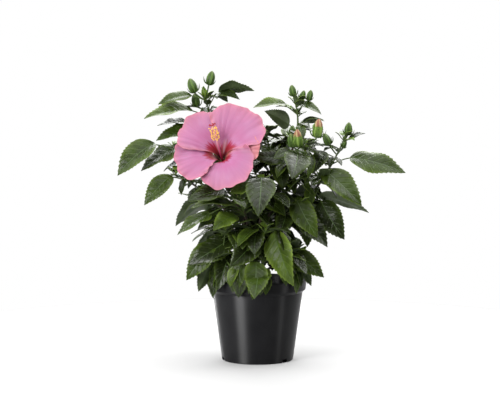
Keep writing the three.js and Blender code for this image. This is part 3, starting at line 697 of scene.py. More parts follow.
def draped_leaves(name):
    """Leaves that hang over the pot's rim from a low shoot, each by a stalk of its own."""
    rng = np.random.default_rng(sum(map(ord, name)) + 1)
    stem, outward = stem_curve(name), azimuth_of(SHOOTS[name]["tip"])
    tips = []
    for _ in range(DRAPE["tries"]):
        root = stem.point(rng.uniform(*DRAPE["root"]))
        azimuth = outward + rng.uniform(-DRAPE["fan"], DRAPE["fan"])
        way = direction(azimuth, 0)
        span = next((h for h in np.arange(DRAPE["shortest"], DRAPE["longest"])
                     if np.hypot(*(root + way * h)[:2]) > rng.uniform(*DRAPE["rim"])), DRAPE["longest"])
        base = root + way * span
        base[2] = rng.uniform(*DRAPE["foot"])
        around = azimuth_of(base)
        tip = direction(around, 0) * rng.uniform(*DRAPE["out"])
        tip[2] = rng.uniform(*DRAPE["tip"])
        row = [0, azimuth, np.linalg.norm(base - root), rise_of(base - root), rise_of(tip - base),
               np.linalg.norm(tip - base), DRAPE["lean"], around]
        stance = Stance(name, row, root=root)
        tip = stance.midrib(1, 0)
        near = [corner for corner, _, _ in crown_finder.find_range(Vector(tip * MM), NEARBY * MM)]
        reach = max((from_middle(vec(corner) / MM) for corner in near), default=0) + REACH_SLACK["draped"]
        apart = all(np.linalg.norm(tip - other) > DRAPE["apart"] for other in tips)
        if span < DRAPE["longest"] and apart and from_middle(tip) < reach and stands_free(stance):
            tips.append(tip)
            yield stance


def side_twigs(name):
    """Side twigs of a shoot's stem and of its bough's outer part, each a curve, with its leaves' rows."""
    shoot, bough, stem = SHOOTS[name], bough_curve(name), stem_curve(name)
    rng = np.random.default_rng(sum(map(ord, name)))
    outward, is_low = azimuth_of(shoot["tip"]), name.startswith(LOW_SHOOTS)
    kind = "twigs_below" if is_low else "twigs_behind" if name.startswith("back") else "twigs"
    count = shoot["fill"] + FINE[kind]
    lowest = shoot["hang"] - FINE["droop"]
    highest = min(FINE["flattest"], shoot["hang"] + FINE["droop"])
    for k in range(count):
        place = (k + 0.2 + 0.6 * rng.random()) / count
        root = (stem.point(place * 2 - 1) if place > 0.5
                else bough.point(FINE["bough_from"] + FINE["bough_part"] * place))
        azimuth = outward + (rng.uniform(-FINE["fan"], FINE["fan"]) if is_low
                             else k * LEAF_TURN + rng.uniform(-FINE["sway"], FINE["sway"]))
        heading = direction(azimuth, rng.uniform(0, FINE["rise"]))
        way = heading * rng.uniform(*FINE["reach"])
        twig = Curve(root, root + way / 2, root + way + vec((0, 0, rng.uniform(0, FINE["upturn"]))))
        rows = []
        for turn in FINE["turns"]:
            length = shoot["leaf"] * rng.uniform(*FINE["length"])
            blade_rise = mix(lowest, highest, place) + rng.uniform(-FINE["rise_sway"], FINE["rise_sway"])
            stalk_rise = rng.uniform(*FINE["stalk_rise"])
            if name.startswith("skirt"):
                length, stalk_rise = length * SKIRT["longer"], stalk_rise - SKIRT["stalk_drop"]
                blade_rise = rng.uniform(*SKIRT["rise"])
            turned = azimuth + turn + rng.uniform(-FINE["turn_sway"], FINE["turn_sway"])
            stalk = length * rng.uniform(*FINE["stalk"])
            rows.append([0, turned, stalk, stalk_rise, blade_rise, length, rng.uniform(*FINE["lean"]),
                         azimuth + turn])
        yield twig, rows


fine_twigs = []
for name in SHOOTS:
    for twig, rows in side_twigs(name):
        found = []
        for row, place in zip(rows, FINE["places"]):
            stance = Stance(name, row, root=twig.point(place))
            if is_inside(stance.midrib(1, 0)) and stands_free(stance):
                found.append((stance, tint_of("fine", stance.length)))
        if len(found) > 1:
            fine_twigs.append(twig)
            leaves += found
for name in SHOOTS:
    if name.startswith(LOW_SHOOTS):
        draped = list(draped_leaves(name))
        leaves += [(stance, tint_of("draped", stance.length)) for stance in draped]
print(f"{grown_leaves} grown leaves, {len(leaves)} in all, {len(buds)} buds, {len(fine_twigs)} finer twigs")

# ---- meshes ---------------------------------------------------------------------------------------------


@functools.cache
def skin_faces(rows, sides):
    """Quads of a closed skin over rings of points, its first and last ring filled."""
    ring = np.arange(sides)
    turned = np.roll(ring, -1)
    walls = [np.stack([ring, turned, turned + sides, ring + sides], 1) + i * sides for i in range(rows - 1)]
    i = np.arange(sides // 2 - 1)
    foot = np.stack([i, sides - 1 - i, sides - 2 - i, i + 1], 1)
    tip = np.stack([i, i + 1, sides - 2 - i, sides - 1 - i], 1) + (rows - 1) * sides
    return np.concatenate([*walls, foot, tip])


def turned_outwards(points, faces):
    """The faces, turned round where the closed skin has them the wrong way."""
    a, b, c, d = (points[faces[:, i]] for i in range(4))
    volume = np.einsum("ij,ij->i", a, np.cross(b, c) + np.cross(c, d)).sum()
    return faces if volume > 0 else faces[:, ::-1]


class Sheaf:
    """Many small closed skins joined as one piece."""

    def __init__(self, name, finishes):
        self.name, self.finishes = name, finishes
        self.points, self.faces, self.slots, self.places = [], [], [], []
        self.count = 0

    def add(self, rings, slots=0, places=None):
        rows, sides = rings.shape[:2]
        points = rings.reshape(-1, 3)
        faces = turned_outwards(points - points.mean(0), skin_faces(rows, sides))
        self.points.append(points)
        self.faces.append(faces + self.count)
        self.slots.append(np.broadcast_to(slots, len(faces)))
        self.places.append(np.zeros((len(points), 2)) if places is None else places.reshape(-1, 2))
        self.count += len(points)

    def build(self, slot, sharp=50):
        points, faces = np.concatenate(self.points) * MM, np.concatenate(self.faces)
        mesh = bpy.data.meshes.new(self.name)
        mesh.from_pydata(points.tolist(), [], faces.tolist())
        for finish in self.finishes:
            mesh.materials.append(finish.material)
        mesh.polygons.foreach_set("material_index", np.concatenate(self.slots).astype(np.int32))
        corner_of = np.empty(len(mesh.loops), np.int32)
        mesh.loops.foreach_get("vertex_index", corner_of)
        blade = mesh.uv_layers.new(name="blade")
        blade.data.foreach_set("uv", np.concatenate(self.places)[corner_of].astype(np.float32).ravel())
        piece = bpy.data.objects.new(self.name, mesh)
        bpy.context.scene.collection.objects.link(piece)
        settle(piece, slot, sharp)
        return piece


def only(piece):
    """Selects one piece and makes it active."""
    for other in bpy.context.selected_objects:
        other.select_set(False)
    piece.select_set(True)
    bpy.context.view_layer.objects.active = piece


def deselect_all():
    only(next(iter(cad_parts.values())))
    bpy.ops.object.select_all(action="DESELECT")


def settle(piece, slot, sharp):
    """Smooth shading and the piece's body; the slot is not used."""
    only(piece)
    bpy.ops.object.shade_smooth_by_angle(angle=math.radians(sharp))
    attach(piece, "root")


def apply_modifier(piece, kind, **settings):
    only(piece)
    modifier = piece.modifiers.new(kind.lower(), kind)
    for name, value in settings.items():
        setattr(modifier, name, value)
    bpy.ops.object.modifier_apply(modifier=modifier.name)


def tube_rings(points, radii, sides):
    """Round rings along a line of points, turned no more than the line turns."""
    points = np.asarray(points)
    headings = np.gradient(points, axis=0)
    headings /= np.linalg.norm(headings, axis=1)[:, None]
    across = vec((1, 0, 0)) if abs(headings[0][0]) < 0.8 else vec((0, 1, 0))
    rings = []
    for point, heading, radius in zip(points, headings, radii):
        across = unit(across - heading * across.dot(heading))
        rings.append(point + radius * spoke(angles_round(sides), across, np.cross(heading, across)))
    return np.array(rings)


def line_of(curve, count):
    return [curve.point(s) for s in np.linspace(0, 1, count)]


def joints(places, apart, height, sharpness):
    """A limb's swelling along places: a joint half-way in each stretch."""
    return 1 + height * np.exp(-(places / apart % 1 - 0.5) ** 2 * sharpness)


# ---- leaves ---------------------------------------------------------------------------------------------

TEETH_FROM, TEETH_TO, TOOTH_POINT = 0.3, 0.955, 0.68
FINE_LEAF = {"grown": 24, "other": 36}    # longer leaves than these get the finer mesh
BLADE = {"width": (0.94, 1.08), "rise": 0.55, "widest": 0.365, "foot": 0.06, "tip": 0.015, "teeth": 0.032,
         "tooth_lean": 0.008, "hem": 6, "fold": (0.16, 0.36), "quilts": 0.02, "wave": (0.01, 0.035),
         "waves": (1.2, 2.4), "wave_shift": 1.4, "droop": (0.0, 0.05), "twist": (-16, 16),
         "bend": (-0.05, 0.05), "vein": 0.5, "thin": 0.2}
STALK = {"bow": (0.02, 0.12), "radius": 0.55, "per_length": 0.004, "foot": 0.45, "top": 0.25, "swelling": 9}
STIPULE = {"length": (3.5, 6), "radius": 0.32}


def blade_rows(teeth):
    """Places along a blade and the swing of its toothed edge there: a valley and a point for each tooth."""
    rows = [(place, 0) for place in (0.0, 0.03, 0.08, 0.15, 0.23)]
    step = (TEETH_TO - TEETH_FROM) / teeth
    for i in range(teeth):
        rows += [(TEETH_FROM + i * step, -1), (TEETH_FROM + (i + TOOTH_POINT) * step, 1)]
    return np.array(rows + [(TEETH_TO, -0.3), (1.0, 0)]).T


def mirrored(*columns):
    return np.array([-c for c in columns] + list(columns[::-1]))


FINE_MESH = blade_rows(9), mirrored(1, 0.7, 0.38, 0.03)
SMALL_MESH = blade_rows(4), mirrored(1, 0.5, 0.04)


def add_blade(sheaf, stance, rng, rows, columns):
    """A toothed, folded and quilted blade."""
    (s, tooth), c = rows[:, :, None], columns[None, :]
    side, hump, length = np.abs(c), 4 * s * (1 - s), stance.length
    outline = np.maximum(s ** BLADE["rise"] * (1 - s) / BLADE["widest"],
                         np.where(s < 0.5, BLADE["foot"], BLADE["tip"]))
    wide = LEAF["slender"] * length * rng.uniform(*BLADE["width"])
    toothing = BLADE["teeth"] * wide * tooth * side ** BLADE["hem"] * np.minimum(1, (1 - s) * 5)
    y = c * wide * outline + np.sign(c) * toothing
    quilts = np.abs(np.sin(VEINS["waves"] * math.pi * (s - VEINS["quilt_slant"] * side)))
    rise = rng.uniform(*BLADE["fold"]) * np.abs(y)
    rise += BLADE["quilts"] * length * quilts * np.minimum(1, 4 * side) * (1 - 0.8 * side ** 3) * outline
    wave_height = rng.uniform(*BLADE["wave"]) * length * c ** 2 * outline
    waving = rng.uniform(*BLADE["waves"]) * s + rng.random()
    rise += wave_height * np.sin(2 * math.pi * waving + np.where(c > 0, BLADE["wave_shift"], 0))
    rise -= rng.uniform(*BLADE["droop"]) * length * side ** 3 * outline
    twist = math.radians(rng.uniform(*BLADE["twist"])) * s
    y, z = (y * np.cos(twist) - rise * np.sin(twist),
            LEAF["arch"] * length * hump + y * np.sin(twist) + rise * np.cos(twist))
    y = y + rng.uniform(*BLADE["bend"]) * length * hump
    x = length * s + BLADE["tooth_lean"] * length * tooth * side ** BLADE["hem"]
    thick = np.where(side < 0.1, BLADE["vein"], BLADE["thin"]) * np.ones_like(s)

    def shell(lift):
        return (stance.base + stance.along * x[..., None] + stance.across * y[..., None]
                + stance.upper * (z + lift)[..., None])

    rings = np.concatenate([shell(thick), shell(-thick)[:, ::-1]], axis=1)
    place = np.stack(np.broadcast_arrays(s, (c + 1) / 2), -1)
    last = len(columns) - 1
    strips = np.full(2 * len(columns), 2)                       # round a ring: top, vein, rim, underside
    strips[[*range(last + 1), -1]] = 0
    strips[[last // 2, last + 1 + last // 2]] = 1
    slots = np.zeros(len(skin_faces(*rings.shape[:2])), int)
    slots[:len(strips) * (len(s) - 1)] = np.tile(strips, len(s) - 1)
    sheaf.add(rings, slots, np.concatenate([place, place[:, ::-1]], axis=1))


def add_stalk(sheaf, stance, rng):
    """The leaf's stalk: a thin curved tube, swollen at its foot and under the blade."""
    seat = stance.midrib(LEAF["seat"], LEAF["arch"])
    bow = vec((0, 0, 1)) * np.linalg.norm(seat - stance.root) * rng.uniform(*STALK["bow"])
    bend = Curve(stance.root, mix(stance.root, seat, 0.6) + bow, seat)
    s = np.linspace(0, 1, 6)
    near_foot, near_top = np.exp(-STALK["swelling"] * s), np.exp(-STALK["swelling"] * (1 - s))
    radii = STALK["radius"] + STALK["per_length"] * stance.length
    radii *= 1 + STALK["foot"] * near_foot + STALK["top"] * near_top
    sheaf.add(tube_rings(line_of(bend, 6), radii, 6))


def add_spike(sheaf, root, heading, length, radius, slot=0):
    """A thin pointed bract or stipule."""
    side = unit(np.cross(heading, vec((0.3, 0.2, 0.9))))
    points = [root + heading * length * s + side * length * 0.12 * math.sin(math.pi * s) for s in (0, 0.4, 1)]
    sheaf.add(tube_rings(points, [radius * 0.7, radius, 0.08], 4), slot)


groups = {tint: Sheaf(f"leaves_{tint}", [LEAF_TOPS[tint], LEAF_VEIN, LEAF_UNDER]) for tint in LEAF_TOPS}
twigs = Sheaf("twigs", [GREEN_STEM, WOODY_STEM])
for order, (stance, tint) in enumerate(leaves):
    is_fine = stance.length > FINE_LEAF["grown" if order < grown_leaves else "other"]
    own = np.random.default_rng([order, 5])
    add_blade(groups[tint], stance, own, *(FINE_MESH if is_fine else SMALL_MESH))
    add_stalk(twigs, stance, RNG)
    for turn in (-1, 1):
        heading = unit(unit(stance.base - stance.root) * 0.6 + stance.across * turn * 0.8 + vec((0, 0, 0.5)))
        add_spike(twigs, stance.root, heading, RNG.uniform(*STIPULE["length"]), STIPULE["radius"])

for twig in fine_twigs:
    twigs.add(tube_rings(line_of(twig, 6), np.linspace(1.1, 0.7, 6), 6))

# each shoot's stem, jointed where leaves leave it and woody at its foot, and the new growth at its tip
STEM = {"rings": 26, "sides": 8, "woody": 9}
for name in SHOOTS:
    stem, s = stem_curve(name), np.linspace(0, 1, STEM["rings"])
    line = [stem.start - stem.heading(0) * GAP * 2] + line_of(stem, STEM["rings"] - 1)
    radii = mix(bough_radii(name)[1], STEM_TIP, s) * joints(s, 1 / 6, 0.14, 60)
    slots = np.zeros(len(skin_faces(STEM["rings"], STEM["sides"])), int)
    slots[:STEM["sides"] * STEM["woody"]] = 1
    twigs.add(tube_rings(line, radii, STEM["sides"]), slots)
    tip, heading = stem.end, stem.heading(1)
    add_spike(twigs, tip, heading, 6, 1.1)
    for k in range(4):
        out = direction(k * LEAF_TURN, 0)
        sideways = unit(out - heading * out.dot(heading))
        add_spike(twigs, tip - heading * 2, unit(heading + sideways * 0.8), 5, 0.45)
        azimuth = k * LEAF_TURN + 40
        young = Stance(name, [1, azimuth, 3 + 2 * k, 50, 60 - 14 * k, 7 + 3.4 * k, 0.35, azimuth])
        if is_clear(young.midrib(1, 0)):
            add_blade(groups["young"], young, RNG, *SMALL_MESH)
            add_stalk(twigs, young, RNG)

# ---- buds -----------------------------------------------------------------------------------------------

BUD_CUP = {"up": (0, 0.58), "places": (0, 0.1, 0.3, 0.55, 0.8, 1, 1, 0.98), "ribs": 0.08, "twist": 0,
           "slot": 1, "widths": (0.4, 0.66, 0.9, 0.98, 0.92, 0.86, 0.7, 0.1)}
BUD_ROLL = {"up": (0.45, 1), "places": (0, 0.25, 0.5, 0.7, 0.86, 0.96, 1), "ribs": 0.12, "twist": 1.2,
            "slot": 3, "widths": (0.74, 0.82, 0.76, 0.6, 0.4, 0.2, 0.04)}
BUD_CLOSED = {"up": (0, 0.97), "places": (0, 0.08, 0.2, 0.38, 0.55, 0.72, 0.86, 0.95, 1), "ribs": 0.1,
              "twist": 0.5, "slot": 0, "widths": (0.4, 0.7, 0.94, 1.04, 1.02, 0.86, 0.6, 0.33, 0.06)}
BRACTS = {"count": 8, "length": 0.5, "sway": 0.1, "radii": (0.5, 0.7, 0.65, 0.55, 0.4, 0.1)}


def add_bract(sheaf, foot, heading, out, length):
    """A narrow bract that leaves the bud's foot sideways and turns up."""
    bend = Curve(foot, foot + out * length * 0.75, foot + out * length * 0.85 + heading * length * 0.8)
    sheaf.add(tube_rings(line_of(bend, 6), BRACTS["radii"], 4), 2)


def add_swelling(sheaf, stance, part):
    """A ribbed skin round a bud's axis."""
    turn, rings, marks = angles_round(30), [], []
    around = spoke(turn, stance.across, stance.upper)
    for place, width in zip(part["places"], part["widths"]):
        up = mix(*part["up"], place)
        ridge = 1 - np.abs(np.sin(2.5 * turn + part["twist"] * place))
        radius = BUD["slender"] * stance.length * width * (1 + part["ribs"] * (2 * ridge - 0.8))
        rings.append(stance.base + stance.along * stance.length * up + radius[:, None] * around)
        marks.append(np.stack([np.full(len(turn), up), ridge], 1))
    sheaf.add(np.array(rings), part["slot"], np.array(marks))


def add_bud(sheaf, stance, opening):
    """A ribbed calyx on its stalk, with a ring of narrow bracts; an opening one shows rolled petals."""
    length, heading = stance.length, stance.along
    for part in (BUD_CUP, BUD_ROLL) if opening else (BUD_CLOSED,):
        add_swelling(sheaf, stance, part)
    for k in range(5 if opening else 0):
        out = spoke((k + 0.5) * 2 * math.pi / 5, stance.across, stance.upper)
        foot = stance.base + heading * length * 0.42 + out * BUD["slender"] * length * 0.84
        add_spike(sheaf, foot, unit(heading - out * 0.2), length * 0.42, length * 0.085, BUD_CUP["slot"])
    for k, turn in enumerate(angles_round(BRACTS["count"])):
        out = spoke(turn, stance.across, stance.upper)
        bract = length * (BRACTS["length"] + BRACTS["sway"] * math.sin(7 * k))
        add_bract(sheaf, stance.base + heading * 0.6, heading, out, bract)
    bend = Curve(stance.root, mix(stance.root, stance.base, 0.6) - heading * 1.5, stance.base + heading)
    sheaf.add(tube_rings(line_of(bend, 8), np.linspace(0.9, 1.0, 8), 8), 2)


bud_sheaf = Sheaf("flower_buds", [BUD_GREEN, FRESH_GREEN, BRACT_GREEN, BUD_TIP])
for stance, opening in buds:
    add_bud(bud_sheaf, stance, opening)

foliage_nodes = [f"foliage_{name}" for name in SHOOTS]
for sheaf, slot in [*((group, "leaf") for group in groups.values()), (twigs, "bark"), (bud_sheaf, "calyx")]:
    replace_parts(sheaf.build(slot=slot), *foliage_nodes)

# ---- trunk and boughs -----------------------------------------------------------------------------------

BARK_RELIEF = {"ridges": (1.1, 1.1, 0.22), "lumps": 0.45, "height": 0.25}
limbs = Sheaf("bark_trunk_and_boughs", [BARK])
turn = angles_round(24)
limbs.add(np.array([
    trunk_point(s) + spoke(turn, vec((1, 0, 0)), vec((0, 1, 0)))
    * trunk_radius(s) * (1 + 0.1 * math.exp(-7 * s) * np.cos(5 * turn)[:, None])
    for s in np.linspace(0, 1, 40)
]))
limbs.add(tube_rings([trunk_point(s) for s in (0.9, 1.0, 1.05)], [3.7, 3.6, 2.2], 12))
for name in SHOOTS:
    curve, (foot, tip) = bough_curve(name), bough_radii(name)
    count = max(16, int(curve.length() / 2.2))
    s = np.linspace(0, 1, count)
    radii = mix(foot, tip, s) * (1 + 0.5 * np.exp(-14 * s)) * joints(np.arange(count), 9, 0.1, 70)
    limbs.add(tube_rings(line_of(curve, count), radii, 16))
bark = limbs.build(slot="bark", sharp=60)
for vertex in bark.data.vertices:
    place = vertex.co / MM
    ridge = noise.noise(place * Vector(BARK_RELIEF["ridges"])) + noise.noise(place * BARK_RELIEF["lumps"])
    vertex.co += vertex.normal * ridge * BARK_RELIEF["height"] * MM
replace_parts(bark, "trunk", *(f"bough_{name}" for name in SHOOTS))

# ---- bloom ----------------------------------------------------------------------------------------------

PETAL_FOOT = 22                  # half the angle that a petal takes up at its foot
RUFFLES = {"broad": 1.0, "fine": 0.3, "hem": 0.5, "folds": 0.9, "notches": 0.012, "curl_from": 0.8,
           "curl": (1.6, 1.5, 0.8), "frill_from": (0.7, 0.4)}


def funnel(t):
    """The bloom's profile, radius and height, and its slope, for an array of places."""
    a, b, c, d = (vec(p) for p in FUNNEL)
    t = np.asarray(t, float)[..., None]
    point = (1 - t) ** 3 * a + 3 * t * (1 - t) ** 2 * b + 3 * t * t * (1 - t) * c + t ** 3 * d
    slope = (1 - t) ** 2 * (b - a) + 2 * t * (1 - t) * (c - b) + t * t * (d - c)
    return point, slope / np.linalg.norm(slope, axis=-1)[..., None]


def round_the_bloom(turn, radius, height):
    """Places round the bloom's axis."""
    return (BLOOM_AT + spoke(turn, BLOOM_RIGHT, BLOOM_UP) * np.asarray(radius)[..., None]
            + BLOOM_AXIS * np.asarray(height)[..., None])


def wave(turn, count, sway=0, per_turn=0, shift=0):
    """A ripple round the bloom, with crests that stand unevenly where it sways."""
    return np.sin(count * turn + sway * np.sin(per_turn * turn + shift))


def petal_points(petal, side, v):
    """The petal's places and angles, from its place across (-1 ... 1) and along (0 ... 1)."""
    spread = mix(PETAL_FOOT, petal["spread"], np.minimum(1, v * 1.7) ** 0.8)
    edge = np.where(side < 0, *petal["edges"])
    reach = petal["reach"] * (1 - 0.2 * np.abs(side) ** 3) * (1 - petal.get("slant", 0) * np.maximum(side, 0))
    lift = edge * PETAL_LIFT * np.abs(side) * np.minimum(1, v * 3)
    turn = np.radians(petal["angle"] + spread * side)
    lift += RUFFLES["broad"] * v ** 4 * wave(turn, 9)
    lift += RUFFLES["fine"] * v ** 2 * wave(turn, 27, 3, 4) + RUFFLES["hem"] * v ** 7 * wave(turn, 41, 2, 7)
    curl = np.clip((v - RUFFLES["curl_from"]) / (1 - RUFFLES["curl_from"]), 0, 1) ** 2
    level, slow, quick = RUFFLES["curl"]
    lift += curl * (level + slow * np.sin(6 * turn + 0.6) + quick * wave(turn, 17))
    reach = reach * (1 + RUFFLES["notches"] * v ** 6 * (wave(turn, 19) + np.sin(8 * turn + 2)))
    lift += RUFFLES["folds"] * v ** 1.5 * wave(turn, 5, 2, 2, 1) * (1 - v ** 6)
    from_side, from_foot = RUFFLES["frill_from"]
    at_side = np.clip((np.abs(side) - from_side) / (1 - from_side), 0, 1) ** 2
    frill = at_side * np.clip((v - from_foot) * 3, 0, 1) * (0.6 + np.sin(26 * v + side))
    lift += np.where(edge > 0, petal["frill"] * frill, 0)
    (radius, height), slope = (np.moveaxis(part, -1, 0) for part in funnel(v * reach))
    return round_the_bloom(turn, radius - slope[1] * lift, height + slope[0] * lift), np.degrees(turn)


# the eye's red band, and the painted highlight colour and its wedges beside the eye's top
EYE = {"top": 91.0, "highlight_off": 21.0, "highlight_slope": -0.07, "rays": -0.36, "sideways": -0.08,
       "band": [(0.08, "#000000"), (0.15, "#ffffff"), (0.3, "#ffffff"), (0.4, "#000000")],
       "edge": [(0.3, "#000000"), (0.44, "#ffffff")], "painted_highlight": "#c8a4ae", "highlight_strongest": 0.7}
PETAL_COLOURS = [(0.0, "#1c060c"), (0.08, "#420410"), (0.15, "#7a051a"), (0.3, "#8e0522"), (0.35, "#9a1e48"),
                 (0.41, "#aa6c94"), (0.55, "#a65f89"), (0.75, "#a4658b"), (1.0, "#a96888")]
HEM = {"side": 8.0, "end": 26.0, "strength": 0.5, "colour": "#c67c7c"}


def petal_finish(name, warmth):
    """Pink with fine radial veins, a deep red eye that runs out in rays with painted highlights flanking its
    top, and a peach margin.
    """
    pink = Finish(name, "#ad6c92", 0.6, Subsurface_Weight=0.2, Subsurface_Scale=0.003)
    pink.set("Subsurface Radius", (1.0, 0.45, 0.6))
    side, along = pink.axes("UVMap")
    turn, _ = pink.axes("round")

    def streaks(across, lengthwise, detail=3.0):
        mapping = pink.node("ShaderNodeMapping", Scale=(across, lengthwise, 1))
        texture = pink.node("ShaderNodeTexNoise", Scale=1.0, Detail=detail)
        own = pink.node("ShaderNodeUVMap", uv_map="UVMap").outputs["UV"]
        pink.links.new(own, mapping.inputs["Vector"])
        pink.links.new(mapping.outputs["Vector"], texture.inputs["Vector"])
        return texture.outputs["Fac"]

    def off(factor, middle):
        return pink.math("SUBTRACT", factor, middle)

    # the eye: rays run out of it, further to both sides, and wedges of painted highlight flank its top, where
    # light glints on the petals' claws
    rays = streaks(20, 0.7)
    off_top = pink.math("ABSOLUTE", pink.math("MULTIPLY_ADD", turn, 360.0, -EYE["top"]))
    off_highlight = pink.math("ABSOLUTE", off(off_top, EYE["highlight_off"]))
    highlight_wedges = pink.math("MAXIMUM", pink.math("MULTIPLY_ADD", off_highlight, EYE["highlight_slope"], 1.0), 0.0)
    highlight_wedge = pink.math("MULTIPLY", highlight_wedges, pink.colours(along, EYE["band"]))
    sideways = pink.math("COSINE", pink.math("MULTIPLY", turn, 4 * math.pi))
    widened = pink.math("MULTIPLY_ADD", sideways, EYE["sideways"], along)
    reddened = pink.math("MULTIPLY_ADD", off(rays, 0.5), EYE["rays"], widened)
    painted_highlight = pink.math("MULTIPLY", highlight_wedge, pink.math("MULTIPLY_ADD", streaks(60, 0.8, 2.0), 2.0, -0.1))
    painted_highlight = pink.math("MINIMUM", pink.math("MAXIMUM", painted_highlight, 0.0), EYE["highlight_strongest"])
    # the painted highlight is blended over the eye's red here
    body = pink.blend(painted_highlight, pink.colours(reddened, PETAL_COLOURS), linear(EYE["painted_highlight"]))

    # outside the eye: darker veins, lilac clouds and the margin
    veins = streaks(46, 1.2, 2.0)
    off_eye = pink.colours(reddened, EYE["edge"])
    veined = pink.math("MULTIPLY", pink.math("MULTIPLY", off(veins, 0.45), 0.8), off_eye)
    clouds = pink.math("MULTIPLY", off(streaks(3.0, 2.0), 0.5), off_eye)
    lilac = pink.blend(clouds, pink.blend(veined, body, linear("#96427a")), linear("#b98cae"))
    edge = pink.math("POWER", pink.math("ABSOLUTE", pink.math("MULTIPLY_ADD", side, 2.0, -1.0)), HEM["side"])
    hem = pink.math("MAXIMUM", edge, pink.math("POWER", along, HEM["end"]))
    margined = pink.blend(pink.math("MULTIPLY", hem, HEM["strength"]), lilac, linear(HEM["colour"]))
    pink.paint(pink.blend(warmth, margined, linear("#c87c68")))
    return pink.relief(pink.math("ADD", veins, pink.math("MULTIPLY", rays, 0.6)), 0.4, 0.4)


PETAL_PINK, PETAL_PEACH = petal_finish("petal_pink", 0.0), petal_finish("petal_peach", 0.5)
for name, petal in PETALS.items():
    deselect_all()
    bpy.ops.mesh.primitive_grid_add(x_subdivisions=64, y_subdivisions=44, size=1)
    piece = bpy.context.object
    piece.name = f"bloom_{name}"
    corners = np.empty(len(piece.data.vertices) * 3)
    piece.data.vertices.foreach_get("co", corners)
    side, along, _ = corners.reshape(-1, 3).T
    points, angles = petal_points(petal, -2 * side, along + 0.5)
    corner_of = np.empty(len(piece.data.loops), np.int32)
    piece.data.loops.foreach_get("vertex_index", corner_of)
    turns = np.stack([angles / 360, along + 0.5], 1)[corner_of]
    piece.data.uv_layers.new(name="round").data.foreach_set("uv", turns.astype(np.float32).ravel())
    piece.data.vertices.foreach_set("co", (points * MM).ravel())
    piece.data.materials.append((PETAL_PEACH if name == "petal_right" else PETAL_PINK).material)
    apply_modifier(piece, "SOLIDIFY", thickness=PETAL_THICK * MM, offset=0)
    settle(piece, "petal", 70)
    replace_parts(piece, name)

# the column: a tube of fused filaments with anthers all round it and five stigmas
COLUMN_PINK = Finish("column_pink", "#d9788e", 0.5, Subsurface_Weight=0.1, Subsurface_Scale=0.002)
COLUMN_PINK.paint(COLUMN_PINK.colours(COLUMN_PINK.axes("blade")[0], [
    (0.0, "#80122c"), (0.25, "#9c2448"), (0.5, "#c05c7c"), (0.68, "#dc98a4"), (1.0, "#e8b09a")]))
ANTHER_YELLOW = plain_finish("anther_yellow", "#eeb93c", "#f7d264", 0.75, 0.8, 0.2)
STIGMA_RED = plain_finish("stigma_red", "#8e1c2c", "#a8283a", 0.8, 0.6, 0.2)
CAP_UP, CAP_WIDE = (-0.75, -0.4, 0.15, 0.65, 0.95), vec((0.25, 0.85, 1.05, 0.7, 0.15))
PAD_UP, PAD_WIDE = (-0.9, -0.55, 0, 0.5, 0.8), (0.4, 1.05, 1.3, 0.95, 0.3)

column_curve = Curve(BLOOM_AT + BLOOM_AXIS * GAP, BLOOM_AT + BLOOM_AXIS * 26, vec(COLUMN["tip"]))


def out_of_column(place, angle):
    """The column's heading at a place, and the way out from it at an angle round it."""
    heading = column_curve.heading(place)
    across = unit(np.cross(heading, vec((0, 0, 1))))
    return heading, spoke(math.radians(angle), across, np.cross(heading, across))


column = Sheaf("bloom_column", [COLUMN_PINK, ANTHER_YELLOW, STIGMA_RED])
s = np.linspace(0, 1, 40)
column.add(tube_rings(line_of(column_curve, 40), COLUMN["radius"] * (1.1 - 0.45 * s), 16), 0,
           np.stack(np.broadcast_arrays(s[:, None], np.zeros(16)), -1))
for k in range(COLUMN["anthers"]):
    place = mix(COLUMN["anthers_from"], COLUMN["anthers_to"], (k + 0.5) / COLUMN["anthers"])
    heading, out = out_of_column(place, k * LEAF_TURN + RNG.uniform(-15, 15))
    foot = column_curve.point(place)
    tip = foot + out * RNG.uniform(3.6, 5.4) + heading * RNG.uniform(0.5, 2.2)
    thread = [foot, mix(foot, tip, 0.5) + heading * 0.3, tip]
    column.add(tube_rings(thread, [0.22, 0.18, 0.16], 4), 0, np.full((12, 2), (0.8, 0)))
    column.add(tube_rings([tip + out * h for h in CAP_UP], CAP_WIDE * RNG.uniform(0.85, 1.1), 6), 1)
for k in range(5):
    heading, arm = out_of_column(1, 72 * k + 20)
    foot, knob = column_curve.point(0.985), vec(COLUMN["tip"]) + arm * 3.9 + heading * 1.8
    column.add(tube_rings(line_of(Curve(foot, foot + heading * 2.5 + arm, knob), 6), [0.5] * 6, 6), 2)
    column.add(tube_rings([knob + unit(heading + arm) * h for h in PAD_UP], PAD_WIDE, 10), 2)
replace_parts(column.build(slot="anthers", sharp=60), "staminal_column")

# the calyx behind the petals, its bracts and the bloom's stalk
CALYX_GREEN = plain_finish("calyx_green", "#4f7030", "#67883f", 0.5, 2.5, 0.15)
CUP = ((0.6, -12), (1.8, -12), (3.8, -8.5), (5.2, -5), (6.2, -2), (7.2, 1), (6.9, 1), (5.2, -0.6), (3, -1),
       (0.6, -1))                # radius and height of its wall, up its outside and down its inside
calyx = Sheaf("bloom_calyx", [CALYX_GREEN])
turn = angles_round(40)
lobes = 1 + 0.03 * np.cos(5 * turn)
calyx.add(np.array([round_the_bloom(turn, radius * lobes, height + 0 * turn) for radius, height in CUP]))


